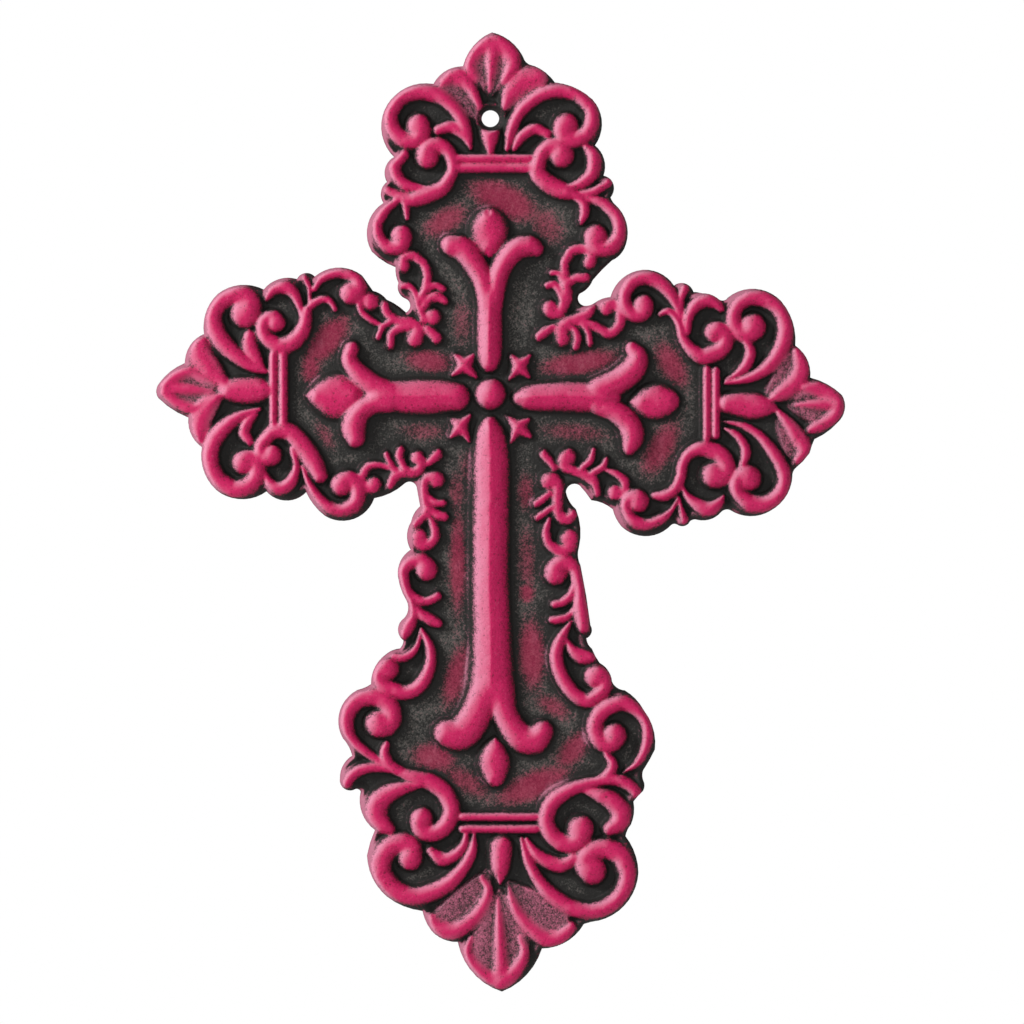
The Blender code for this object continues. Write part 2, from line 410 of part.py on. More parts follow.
def spiral(run, eye, turn):
    """The spiral that leads from the end of a run into its eye."""
    eye_x, eye_y, eye_radius = eye
    (last_x, last_y, last_width), (near_x, near_y, _) = run[-1], run[-2]
    out_x, out_y = last_x - eye_x, last_y - eye_y
    side = 1 if out_x * (last_y - near_y) > out_y * (last_x - near_x) else -1
    start, reach = math.atan2(out_y, out_x), math.hypot(out_x, out_y)
    core = EYE_CORE * eye_radius
    points = []
    for step in range(1, CURL_COUNT + 1):
        share = step / CURL_COUNT
        angle = start + side * math.radians(turn) * share
        radius = reach + (core - reach) * share
        half_width = last_width + (core - last_width) * share
        points.append((eye_x + radius * math.cos(angle), eye_y + radius * math.sin(angle), half_width))
    return points


def heading(a, b):
    """The direction from a to b on the grid, in radians."""
    return math.atan2(b[1] - a[1], b[0] - a[0])


def stations(run):
    """The places along a run where its turn, its width or its length has changed enough to show."""
    kept = [run[0]]
    turned = 0.0
    for before, here, after in zip(run, run[1:], run[2:]):
        bend = (heading(here, after) - heading(before, here) + math.pi) % math.tau - math.pi
        turned += abs(bend)
        apart = math.dist(kept[-1][:2], here[:2])
        if turned >= TURN_STEP or abs(here[2] - kept[-1][2]) >= WIDTH_STEP or apart > LONGEST_STEP:
            kept.append(here)
            turned = 0.0
    if math.dist(kept[-1][:2], run[-1][:2]) < run[-1][2] and len(kept) > 2:
        kept.pop()
    return kept + [run[-1]]


def tip(end, near):
    """A station past a wide end, narrower and lower, that rounds it off."""
    angle = heading(near, end)
    reach = TIP_REACH * end[2]
    return (end[0] + reach * math.cos(angle), end[1] + reach * math.sin(angle), TIP_WIDTH * end[2])


def with_tips(line, round_end):
    """The stations with a rounding station past each end that is wide enough to need one."""
    if round_end and line[-1][2] > WIDE_TIP:
        line = line + [tip(line[-1], line[-2])]
    if line[0][2] > WIDE_TIP:
        line = [tip(line[0], line[1])] + line
    return line


def section(station, angle, rise, full_width, sides):
    """The closed section of a ridge at a station, its sides going on below the field to its root."""
    x, y, half_width = station
    height = rise * (LOWEST_SHARE + (1 - LOWEST_SHARE) * min(half_width / full_width, 1.0))
    crown = []
    for step in range(1, sides):
        lean = math.pi * step / sides
        crown.append((-math.cos(lean), height * math.sin(lean) ** SHOULDER))
    foot = 1 + (1 + crown[0][0]) * ROOT_DEPTH / crown[0][1]
    across_x, across_y = -math.sin(angle) * half_width, math.cos(angle) * half_width
    return [
        place(x + across_x * side, y + across_y * side, FIELD_THICKNESS + level)
        for side, level in [(-foot, -ROOT_DEPTH), *crown, (foot, -ROOT_DEPTH)]
    ]


def skin(name, rings):
    """One closed body grown by extruding its end face from ring to ring."""
    bm = bmesh.new()
    ordered = [bm.verts.new(point) for point in rings[0]]
    cap = bm.faces.new(ordered)
    for ring in rings[1:]:
        before = [vert.co.copy() for vert in ordered]
        grown = bmesh.ops.extrude_face_region(bm, geom=[cap])["geom"]
        if ring is not rings[1]:
            bmesh.ops.delete(bm, geom=[cap], context="FACES_ONLY")
        cap = next(item for item in grown if isinstance(item, bmesh.types.BMFace))
        ordered = [min(cap.verts, key=lambda vert: (vert.co - spot).length) for spot in before]
        for vert, point in zip(ordered, ring):
            vert.co = point
    bmesh.ops.recalc_face_normals(bm, faces=bm.faces)
    mesh = bpy.data.meshes.new(name)
    bm.to_mesh(mesh)
    bm.free()
    mesh.shade_smooth()
    mesh.set_sharp_from_angle(angle=SHARP_ANGLE)
    return mesh


def helper(name, mesh, collection):
    """A guide object that the build leaves out."""
    body = bpy.data.objects.new(name, mesh)
    collection.objects.link(body)
    body.hide_render = True
    body.display_type = "WIRE"
    return body


def boss(name, middle, rings, sides, collection):
    """A round boss about a grid place, from (radius in metres, rise over the back face) rings."""
    centre = place(*middle, 0)
    circle = [(math.cos(math.tau * k / sides), math.sin(math.tau * k / sides)) for k in range(sides)]
    return helper(
        name,
        skin(name, [[centre + Vector((r * c, -rise, r * s)) for c, s in circle] for r, rise in rings]),
        collection,
    )


def button(name, middle, radius, rise, sides, collection):
    """A raised round boss with sloping sides on the field."""
    foot, crown = FIELD_THICKNESS - ROOT_DEPTH, FIELD_THICKNESS + rise
    return boss(name, middle, ((radius, foot), (radius * BUTTON_CROWN, crown)), sides, collection)


def plate():
    """The scalloped plate, flat on both faces."""
    outline = [EDGE_START]
    for crown, end in EDGE:
        outline += arc_points(outline[-1], crown, end)
    outline.pop()
    corners = [place(x, y, 0) for x, y in outline]
    front = Vector((0, -FIELD_THICKNESS, 0))
    return skin("plate", [corners, [corner + front for corner in corners]])


def painted_iron():
    """Magenta paint over black cast iron."""
    material = bpy.data.materials.new("painted_cast_iron")
    material.use_nodes = True
    shader = material.node_tree.nodes["Principled BSDF"]
    shader.inputs["Base Color"].default_value = (0.46, 0.045, 0.13, 1.0)
    shader.inputs["Roughness"].default_value = 0.6
    shader.inputs["Metallic"].default_value = 0.2
    return material


def carving():
    """Every raised ridge, eye, collar and knob, as guides in one collection."""
    raised = bpy.data.collections.new("carving")
    bpy.context.scene.collection.children.link(raised)
    for family, rise, full_width, sides in FAMILIES:
        for name, guides in family.items():
            run = smooth_run(guides)
            if name in CURLS:
                eye, turn = CURLS[name]
                run += spiral(run, eye, turn) if turn else []
                radius = eye[2] * HEIGHT / GRID_HEIGHT
                button(name + "_eye", eye[:2], radius, EYE_SHARE * rise, EYE_SIDES, raised)
            line = with_tips(stations(run), name not in CURLS)
            ends = [line[0], *line, line[-1]]
            angles = [heading(a, b) for a, b in zip(ends, ends[2:])]
            rings = [section(spot, angle, rise, full_width, sides) for spot, angle in zip(line, angles)]
            helper(name, skin(name, rings), raised)
    button("knob", KNOB_AT, KNOB_DIAMETER / 2, KNOB_RISE, KNOB_SIDES, raised)
    collar = (
        (COLLAR_DIAMETER / 2, FIELD_THICKNESS - ROOT_DEPTH),
        (COLLAR_DIAMETER / 2, FIELD_THICKNESS + 0.5 * COLLAR_RISE),
        (0.5 * (COLLAR_DIAMETER + HOLE_DIAMETER) / 2, FIELD_THICKNESS + COLLAR_RISE),
    )
    boss("collar", HOLE_AT, collar, HOLE_SIDES, raised)
    return raised


cross = bpy.data.objects.new("cast_iron_cross", plate())
bpy.context.scene.collection.objects.link(cross)
cross.data.materials.append(painted_iron())

union = cross.modifiers.new("raise_the_carving", "BOOLEAN")
union.operation = "UNION"
union.operand_type = "COLLECTION"
union.collection = carving()
union.solver = "MANIFOLD"

bore = boss(
    "nail_hole",
    HOLE_AT,
    ((HOLE_DIAMETER / 2, -CUT_CLEAR), (HOLE_DIAMETER / 2, FIELD_THICKNESS + COLLAR_RISE + CUT_CLEAR)),
    HOLE_SIDES,
    bpy.context.scene.collection,
)
pierce = cross.modifiers.new("pierce_the_hole", "BOOLEAN")
pierce.operation = "DIFFERENCE"
pierce.object = bore
pierce.solver = "MANIFOLD"
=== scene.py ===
"""A cast iron wall cross, dry-brushed in magenta over black, hung before a pale studio floor.

The whole front is one carved relief. It is laid out on the same front-view grid as the part's source: x to
the right, y down, one grid step a 958.5th of the height. Each ridge runs through guides of
(x, y, half width), and a scroll goes on as a spiral into its round eye.
"""

import logging
import math
from dataclasses import dataclass, field
from enum import Enum
from typing import Any, Sequence

import bpy
import numpy as np
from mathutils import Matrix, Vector


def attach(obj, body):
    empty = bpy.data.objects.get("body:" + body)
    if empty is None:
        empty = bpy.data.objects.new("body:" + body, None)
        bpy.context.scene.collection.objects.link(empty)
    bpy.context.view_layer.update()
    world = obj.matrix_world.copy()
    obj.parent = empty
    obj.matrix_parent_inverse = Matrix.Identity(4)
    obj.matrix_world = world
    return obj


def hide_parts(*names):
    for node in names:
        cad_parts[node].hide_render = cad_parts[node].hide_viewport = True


Guide = tuple[float, float, float]
Point = tuple[float, float]
Colour = tuple[float, float, float, float]

LOG = logging.getLogger("wall_cross")

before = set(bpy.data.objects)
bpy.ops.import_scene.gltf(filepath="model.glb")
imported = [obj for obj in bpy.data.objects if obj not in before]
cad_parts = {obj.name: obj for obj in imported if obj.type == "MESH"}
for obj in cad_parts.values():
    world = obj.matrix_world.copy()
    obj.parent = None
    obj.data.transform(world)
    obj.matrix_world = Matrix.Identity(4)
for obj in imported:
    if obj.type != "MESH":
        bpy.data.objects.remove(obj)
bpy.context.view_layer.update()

NODE = "cast_iron_cross"

# The layout grid of the front view, and the real size that it is drawn to
GRID_HEIGHT = 958.5
GRID_WIDTH = 688.7
HOLE_AT: Point = (490.4, 118.3)
KNOB_AT: Point = (490, 394)
HEIGHT = 0.2794
WIDTH = 0.2006
STEP = HEIGHT / GRID_HEIGHT

SCROLLS = {
    "top_left_big": [(471, 149, 2), (466, 130, 6.5), (455, 110, 8), (438, 96, 8.5), (418, 92, 9),
        (400, 98, 9), (390, 112, 9)],
    "top_right_big": [(507, 149, 3.5), (511, 130, 6.5), (520, 112, 7), (537, 97, 7.5), (556, 91, 8),
        (576, 94, 8.5), (590, 107, 8.5)],
    "top_left_volute": [(399, 197, 4), (411, 200, 7.5), (427, 195, 9.5), (443, 187, 8.5), (452, 173, 7)],
    "top_left_outer": [(404, 155, 6), (394, 167, 7.5), (399, 180, 7), (411, 187, 6), (428, 188, 2.5)],
    "top_left_small": [(398, 200, 4), (385, 210, 6), (377, 223, 6.5)],
    "top_right_volute": [(575, 195, 5.5), (560, 190, 9.5), (545, 182, 10), (537, 172, 9.5),
        (539, 160, 8.5)],
    "top_right_outer": [(586, 148, 4.5), (593, 157, 8), (592, 173, 8), (581, 183, 6.5), (569, 187, 4)],
    "top_right_small": [(588, 198, 4), (603, 204, 6.5), (615, 214, 8)],
    "left_up_big": [(265, 371, 3.5), (253, 367, 6), (239, 358, 8), (225.5, 346, 10),
        (215.5, 332, 10.5), (212, 318, 10)],
    "left_up_volute": [(307, 310, 5.5), (303, 329, 8.5), (292, 342, 9.5), (279, 346, 9.5), (268, 340, 8)],
    "left_up_outer": [(267, 298, 4), (273, 290, 6.5), (283, 287, 7.5), (293, 293, 6.5),
        (300, 308, 4.5), (302, 318, 3.5)],
    "left_up_small": [(314.5, 289, 3.5), (322, 278, 5.5), (338, 272.5, 6.5), (351, 275, 7)],
    "left_low_big": [(260, 409, 2.5), (249, 412, 4.5), (236, 418, 7), (222, 429, 9), (213, 441, 10),
        (209, 454, 10), (211, 467, 10), (218, 480, 10), (232, 489, 10)],
    "left_low_volute": [(320, 475, 8.5), (312, 460, 10.5), (301, 444, 10.5), (289, 432, 9.5),
        (274, 431, 8.5), (264, 440, 7.5)],
    "left_low_outer": [(265.5, 475, 4), (271, 485, 6.5), (281, 488, 7.5), (291, 481, 7),
        (296, 466, 4.5), (292, 449, 4)],
    "left_low_small": [(302, 466, 2), (308, 481.5, 4), (316, 495, 6), (327, 506, 7), (341, 509.5, 7.5),
        (353, 505, 8.5)],
    "lower_left_hook": [(414, 616, 4), (410, 600, 5.5), (404.5, 585, 6.5), (402, 571, 7.5)],
    "lower_left_long_scroll": [(421, 628, 2), (429, 645, 5.5), (430.5, 660, 6.5), (426, 675, 7.5),
        (417, 687, 8), (404, 692, 8), (391, 688, 8)],
    "lower_left_scroll": [(396, 771, 4), (380, 761, 4.5), (365, 751, 5.5), (352, 739, 6.5),
        (346, 725, 8.5), (348, 710, 9.5), (358, 699, 10), (372, 696, 10)],
    "lower_left_main": [(386, 744, 4.5), (384, 753, 6), (390, 764, 6), (402, 772, 6), (416, 777, 8),
        (431, 782, 9), (444, 792, 9.5), (451, 806, 9.5)],
    "lower_left_outer": [(419, 785, 3.5), (404, 787, 7), (389, 792, 10), (378, 801, 12.5),
        (375, 812, 13), (380, 822, 10.5), (389, 828, 6.5)],
    "lower_left_big": [(474, 834, 2.5), (472, 850, 6), (463, 867, 7.5), (448, 882, 9),
        (430, 891.5, 10), (410, 895, 10), (392, 888, 11.5), (380, 874, 12.5)],
    "lower_right_big": [(521, 838, 2.5), (527, 858, 5.5), (537, 878, 7), (552, 894.5, 8),
        (570, 906, 8.5), (590, 910, 9), (609, 904, 9.5), (622, 891, 9.5), (627, 874, 10),
        (622, 857, 10.5)],
    "lower_right_main": [(637, 793, 6.5), (628, 784, 7), (615, 779, 6.5), (600, 780, 6), (583, 784, 7),
        (565, 791, 8.5), (551, 802, 9.5), (545, 817, 9)],
    "lower_right_outer": [(583, 789, 3.5), (598, 794, 7.5), (611, 800, 10), (620, 811, 11.5),
        (619, 821, 11), (609, 828, 7.5)],
    "lower_right_scroll": [(623, 772, 1.5), (636, 763, 4.5), (643, 752, 5.5), (647, 738, 6.5),
        (646, 722, 7), (637, 710, 7.5), (622, 702, 8.5), (607, 706, 9.5)],
    "lower_right_long_scroll": [(571, 621, 2), (562, 635, 6), (556, 650, 7.5), (557, 665, 8),
        (563, 680, 8), (574, 694, 8), (587, 700, 8), (599, 693, 8)],
    "lower_right_hook": [(583, 626, 7.5), (581, 612, 9.5), (580, 598, 7.5), (579, 584, 6.5),
        (575, 569, 7.5)],
    "right_up_small": [(680, 318, 2.5), (675, 303, 5.5), (667, 290, 8), (657, 281, 8.5), (644, 277, 8),
        (632, 281, 8.5), (625, 291, 7.5)],
    "right_up_volute": [(660, 314, 3.5), (667, 311, 4.5), (674, 316, 4.5), (679, 326, 5),
        (683, 339, 6), (691, 350, 7.5), (702, 356, 9), (714, 353, 9.5)],
    "right_up_outer": [(721, 309, 4), (714, 302, 7), (704, 300, 8), (694, 306, 7.5), (688, 318, 6),
        (687, 332, 4)],
    "right_up_big": [(724, 383, 2), (741, 380, 4.5), (757, 374, 6.5), (772, 362, 8.5), (782, 345, 9.5),
        (785, 326, 9.5), (779, 310, 9), (766, 300, 9), (751, 297, 9), (739, 303, 8)],
    "right_low_big": [(723, 421, 1.5), (741, 425, 4), (757, 434, 5.5), (770, 449, 7), (780, 465, 8),
        (784, 480, 8.5), (779, 494, 9), (766, 503, 9.5), (750, 503, 9.5), (739, 495, 8)],
    "right_low_volute": [(654, 495, 4.5), (664, 495, 6.5), (674, 489, 6.5), (680, 477, 6.5),
        (682, 464, 6.5), (689, 453, 7), (702, 448, 8.5), (715, 452, 9.5)],
    "right_low_outer": [(681, 485, 2.5), (687, 496, 4.5), (696, 504, 7), (707, 508.5, 8.5),
        (717, 504, 6.5), (723, 496, 2.5)],
    "right_low_small": [(678, 497, 2), (671, 510, 3.5), (660, 519, 6), (645, 524, 6.5), (631, 519, 7),
        (624.5, 508, 6.5)],
}

LEAVES = {
    "top_rib": [(490, 91, 2.5), (491, 70, 6.5), (492, 52, 9.5), (492, 43, 9.5)],
    "top_left_rim": [(476, 79, 4.5), (469.5, 67, 8.5), (473, 54, 10), (484, 43, 10)],
    "top_right_rim": [(504, 81, 4.5), (512, 66, 9), (510, 54, 10.5), (500, 43, 10)],
    "top_left_side_leaf": [(444, 82, 7), (453, 76, 10.5), (464, 80, 9.5), (473, 93, 6.5), (480, 108, 4)],
    "top_right_side_leaf": [(537, 78, 11.5), (522, 82, 14), (510, 94, 10.5), (505, 106, 5)],
    "top_left_inner_leaf": [(470, 148, 2.5), (463, 135, 6), (451, 127, 7), (438, 130, 6)],
    "top_right_inner_leaf": [(514, 149, 3.5), (521, 137, 6.5), (534, 129, 6.5), (547, 134, 5.5)],
    "top_left_thin": [(384, 189, 4.5), (394, 194, 5.5), (406, 198, 6)],
    "top_left_inward": [(404, 200, 5), (406, 210, 4.5), (407, 218, 3.5)],
    "top_right_thin": [(609, 182, 5.5), (600, 188, 5.5), (591, 192.5, 5.5), (580, 195, 5)],
    "top_right_inward": [(575, 196, 5), (583, 204, 6), (584, 213, 6), (581, 222, 4)],
    "left_rib": [(212, 391, 2), (196, 390, 5.5), (180, 388.5, 7), (166, 387, 8.5)],
    "left_up_rim": [(203, 380, 3.5), (190, 371.5, 6), (176, 376, 8), (165, 385, 7)],
    "left_low_rim": [(206, 400, 2.5), (192, 408, 6), (177, 402.5, 7), (165, 393, 7)],
    "left_up_side_leaf": [(199, 344, 11.5), (201, 357, 14), (210, 370, 13), (223, 382, 7)],
    "left_low_side_leaf": [(219, 397, 5), (208, 405, 10.5), (201, 417, 12), (199, 430, 10.5),
        (200, 441, 5.5)],
    "left_up_inner": [(249, 336, 7), (249, 345, 9), (254, 356, 8), (265, 370, 2)],
    "left_up_thin": [(304, 277, 4), (309, 288, 3.5), (309.5, 303, 2.5)],
    "left_up_hook": [(302, 321, 3.5), (309, 308, 4.5), (318, 300.5, 5), (328, 300, 4.5), (335, 309, 3.5)],
    "left_low_inner": [(256, 413.5, 3.5), (247, 423, 6.5), (244, 433, 7), (249.5, 441, 5.5)],
    "lower_left_leaf1": [(409, 588, 2.5), (415, 597, 5), (425, 601, 5.5), (437, 596, 5.5)],
    "lower_left_leaf2": [(412, 602, 3.5), (420, 613, 6), (430, 619, 6.5), (438, 623, 5)],
    "lower_left_down": [(412, 600, 4), (413, 614, 5), (408, 626, 8), (403, 635, 6)],
    "lower_left_small": [(420, 628, 1.5), (418, 642, 3.5), (412, 652, 5), (402, 657, 5.5),
        (393, 655, 4.5)],
    "lower_left_leaf": [(346, 783, 6), (352, 774, 7), (363, 768, 6.5), (378, 767, 5), (394, 770, 3.5)],
    "lower_left_inner": [(466, 834, 3.5), (463, 845, 5.5), (453, 855, 7), (441, 858, 8), (430, 850, 5)],
    "lower_left_side": [(481, 876, 3.5), (488, 889, 5.5), (482, 906, 8), (469, 921, 9),
        (453, 930, 9.5), (438, 927, 9.5), (431, 916, 5)],
    "lower_rib": [(498, 898, 2), (499, 925, 6), (500, 950, 8), (500, 978, 10.5)],
    "lower_left_rim": [(471, 937, 3.5), (467, 950, 6), (473, 964, 8), (485, 975, 9), (497, 981, 8.5)],
    "lower_right_rim": [(520, 937, 3.5), (524, 951, 6), (519, 964, 8), (511, 974, 9), (502, 981, 8.5)],
    "lower_right_side": [(508, 886, 2), (512, 900, 5), (520, 915, 7), (532, 929, 8.5), (546, 938, 9),
        (560, 936, 9.5), (571, 926, 6)],
    "lower_right_inner": [(526, 838, 2.5), (535, 852, 6), (548, 861, 8), (562, 864, 8.5), (573, 857, 6)],
    "lower_right_up": [(606, 754, 4), (612, 763, 6), (609, 772, 6.5), (598, 779, 4.5)],
    "lower_right_between": [(566, 638, 2.5), (572, 650, 6), (582, 656, 8.5), (592, 657, 5.5)],
    "lower_right_leaf1": [(571.5, 574, 2), (573, 585, 4), (570, 595, 5.5), (562, 601.5, 5.5),
        (554, 603.5, 5)],
    "lower_right_leaf2": [(577, 592, 1.5), (575, 605, 2.5), (568, 615, 4.5), (558, 619, 5.5),
        (551, 619, 4.5)],
    "right_up_thin": [(684, 288, 6), (681, 299, 4.5), (681, 312, 3.5), (684, 326, 2.5)],
    "right_up_inner": [(746, 342, 5), (750, 352, 6.5), (746, 364, 6.5), (737, 373, 4.5), (725, 380, 2)],
    "right_up_side": [(797, 352, 7), (801, 366, 10.5), (796, 380, 11.5), (784, 391, 10), (771, 398, 4)],
    "right_rib": [(795, 404.5, 2.5), (815, 404, 6), (836, 404, 8.5)],
    "right_tip_up": [(804, 387, 5.5), (819, 389, 9), (831, 395, 9.5), (838, 402, 7)],
    "right_tip_low": [(810, 429, 5.5), (823, 424, 8), (834, 415, 8.5), (839, 406, 7)],
    "right_low_side": [(778, 412, 4), (788, 424, 7), (798, 438, 9.5), (804, 450, 9.5), (798, 459, 6.5)],
    "right_low_inner": [(724, 428, 2), (736, 435, 5), (744, 446, 6), (745, 456, 6), (742, 464, 4.5)],
    "right_low_thin": [(679, 497, 1.5), (681, 510, 4), (684, 520, 5.5)],
}

SPRIGS = {
    "top_left_sprig_curl": [(421, 300, 4.5), (425, 287, 5.5), (427, 277, 6), (424, 265, 6),
        (415, 256.5, 6)],
    "top_left_sprig_stem": [(400.5, 285.5, 4.5), (409, 286.5, 4.5), (415, 294, 4.5), (418, 306, 4.5),
        (423, 319, 5.5)],
    "top_left_sprig_leaf1": [(421, 295, 4), (427, 289, 4.5), (435, 285.5, 4.5), (443, 289, 4)],
    "top_left_sprig_leaf2": [(423, 308, 4.5), (429, 299, 6), (437, 297, 6), (445, 301, 4.5)],
    "top_left_sprig_bud": [(424, 327, 3), (430, 332, 6), (436, 338, 7)],
    "top_right_sprig_curl": [(566, 292, 6.5), (565, 278, 6), (564, 264, 6), (570, 252, 6.5)],
    "top_right_sprig_right_leaf": [(567, 285, 4.5), (575, 278, 6), (585.5, 277.5, 5.5)],
    "top_right_sprig_left1": [(551, 272.5, 4), (558, 274, 4), (564, 287, 4)],
    "top_right_sprig_left2": [(547, 285, 4.5), (554, 284.5, 5), (560, 293, 5), (562, 302, 4.5)],
    "top_right_sprig_lower": [(566, 285, 6), (566.5, 299, 6.5), (560, 311, 7)],
    "top_right_sprig_bud": [(539, 336, 6), (546, 330.5, 6), (553, 325.5, 3)],
    "left_upper_sprig_curl": [(381.5, 325.5, 3), (371, 320, 4), (361, 312, 4.5), (359, 302, 4.5)],
    "left_upper_sprig_leafc": [(391, 321, 4), (382.5, 327, 4), (378, 337, 4)],
    "left_upper_sprig_leafb": [(408, 326.5, 5.5), (398, 328.5, 5.5), (391, 334, 5.5), (390, 345, 5.5)],
    "left_upper_sprig_band": [(384, 306, 5.5), (387, 314, 6), (396, 320, 5.5), (407, 321, 5.5)],
    "left_lower_sprig_curl": [(395, 469.5, 4), (381, 465, 4), (368, 466, 5.5), (361.5, 476, 6)],
    "left_lower_sprig_twig1": [(386, 454, 4), (389, 461, 4), (393, 468, 4)],
    "left_lower_sprig_twig2": [(400, 450, 5.5), (399, 457, 5.5), (405, 470, 4.5)],
    "left_lower_sprig_band": [(390, 484.5, 5.5), (394, 476.5, 6.5), (403, 472, 6.5), (414, 472, 6.5)],
    "left_lower_sprig_bud": [(427, 464, 3), (432, 459, 6), (437, 454, 6.5)],
    "lower_left_stem_curl": [(427.5, 512, 6), (424.5, 502, 6), (423.5, 491, 6), (424, 481, 5.5)],
    "lower_left_stem_leaf1": [(427, 495, 3), (435, 502, 4.5), (443, 503, 4.5)],
    "lower_left_stem_leaf2": [(429, 507, 4), (436, 514, 5.5), (444, 516.5, 5.5)],
    "lower_left_stem_left": [(426.5, 510, 5.5), (421, 518, 6), (415, 523, 6)],
    "lower_left_stem_scroll": [(429, 517, 3), (433.5, 526.5, 5.5), (435, 536, 6)],
    "lower_right_stem_curl": [(573, 514, 6), (566, 519, 7), (558, 513, 7), (557, 500, 7),
        (557.5, 486, 7)],
    "lower_right_stem_leaf1": [(549, 493, 4.5), (542, 499, 5.5), (536, 503, 5)],
    "lower_right_stem_leaf2": [(551, 507, 4), (543, 513, 4.5), (537, 517, 4.5)],
    "lower_right_stem_scroll": [(549, 519, 3), (545.5, 531, 5.5), (548, 543, 6), (557, 550, 7)],
    "right_upper_sprig_fat": [(591, 306, 6), (586.5, 313.5, 7), (577, 318, 6.5), (567, 322, 7),
        (561, 329, 9), (562, 338, 9.5)],
    "right_upper_sprig_a": [(569, 326, 3), (575, 331, 4.5), (577, 338, 5.5), (575.5, 346, 5.5)],
    "right_upper_sprig_b": [(574, 322, 2.5), (583, 325, 4.5), (588, 333, 4.5), (589.5, 343, 4.5)],
    "right_upper_sprig_curl": [(583, 321, 3), (594, 326, 5.5), (609, 333, 6.5), (619, 324, 7),
        (620, 312, 6.5)],
    "right_lower_sprig_curl": [(597, 493, 4.5), (593, 481, 6.5), (584, 474.5, 6), (573, 470.5, 5.5),
        (564, 467, 6)],
    "right_lower_sprig_t1": [(593, 450, 3.5), (590, 460, 4.5), (582, 467, 4)],
    "right_lower_sprig_t2": [(606, 459, 3.5), (602, 467, 4.5), (593, 472, 4.5)],
    "right_lower_sprig_bud": [(543, 454, 5.5), (549, 461, 5.5), (554, 468, 4)],
    "right_lower_sprig_small": [(607, 470, 3), (616, 474, 4.5), (624, 481, 6), (624.5, 489, 6)],
}

RODS = {
    "top_rod": [(459, 158.5, 5), (529, 158.5, 5)],
    "top_rod2": [(459, 168, 5.5), (529, 168, 5.5)],
    "left_rod": [(273, 355, 5), (273, 424, 5)],
    "left_rod2": [(283, 355, 5.5), (283, 424, 5.5)],
    "lower_rod": [(462, 816, 5), (535, 816, 5)],
    "lower_rod2": [(462, 828, 5), (535, 828, 5)],
    "right_rod": [(706.3, 370, 5), (706.3, 437, 5)],
    "right_rod2": [(715.5, 371, 5), (715.5, 435, 5)],
}

BUDS = {
    "top_drop": [(489.5, 134, 10.5), (490, 150, 5.5)],
    "left_bud": [(219, 389.5, 2.5), (230, 389.5, 11), (245, 390, 14), (257, 390, 13), (264, 390, 9)],
    "lower_bud": [(500.5, 846, 12), (500, 857, 11.5), (500, 868, 9.5), (500, 882, 2.5)],
    "right_bud": [(727, 403, 10), (740, 404, 12.5), (753, 406, 13.5), (766, 407, 9), (776, 408, 2.5)],
    "cross_top_bud": [(488, 213, 4.5), (488, 221, 13.5), (488.5, 231, 19.5), (489, 243, 12.5),
        (490, 256, 2.5)],
    "cross_left_bud": [(307, 395.5, 2.5), (321, 395.5, 13), (337, 396, 22.5), (350, 395.5, 13),
        (361, 394.5, 2.5)],
    "cross_right_bud": [(630, 402.5, 2), (641, 402, 10), (654, 401.5, 17.5), (666, 401, 13),
        (675, 400.5, 4.5)],
    "cross_bottom_bud": [(495, 738, 2), (494, 749, 10), (493.5, 761, 16), (494.5, 773, 12.5),
        (496, 780, 6.5)],
}

BARS = {
    "cross_top_shaft": [(489, 362, 10.5), (489, 352, 13), (489, 320, 13.5), (490, 297, 12),
        (490, 287, 6)],
    "cross_left_bar": [(456, 397, 14), (444, 396, 16), (425, 396.5, 18), (400, 396, 16.5),
        (382, 396, 14), (372, 396, 8)],
    "cross_right_bar": [(519, 398, 8), (532, 397, 13.5), (560, 396, 15.5), (588, 397, 15.5),
        (602, 397.5, 14), (614, 398, 7.5)],
    "cross_shaft": [(489, 424, 9), (490, 438, 15.5), (490.5, 465, 18.5), (490, 520, 19),
        (489.5, 580, 19), (491, 640, 20), (491, 690, 23.5)],
}

PETALS = {
    "cross_top_left_petal": [(486, 305, 9), (483, 282, 11), (474, 264, 12), (462, 249, 12.5),
        (450, 245, 10.5)],
    "cross_top_right_petal": [(494, 305, 9), (497, 280, 10.5), (504, 262, 11), (516, 249, 11.5),
        (528, 246, 11), (536, 249, 8)],
    "cross_left_upper_petal": [(388, 391, 10.5), (374, 386, 11.5), (359, 374, 10.5), (349, 360, 9),
        (351, 349, 8.5)],
    "cross_left_lower_petal": [(388, 402, 10.5), (373, 404, 10.5), (360, 411, 11.5), (353, 425, 13),
        (355, 437, 10.5)],
    "cross_right_upper_petal": [(598, 389, 12.5), (617, 381, 13.5), (631, 370, 13.5), (637, 358, 11),
        (631, 348, 7)],
    "cross_right_lower_petal": [(598, 406, 9.5), (614, 411, 11), (627, 422, 12), (632, 436, 12),
        (629, 448, 7.5)],
    "cross_bottom_left_petal": [(484, 690, 15.5), (474, 716, 16.5), (461, 732, 17), (446, 732, 13.5)],
    "cross_bottom_right_petal": [(500, 690, 14.5), (505, 714, 13), (518, 735, 14), (533, 739, 14.5),
        (542, 731, 11.5)],
}

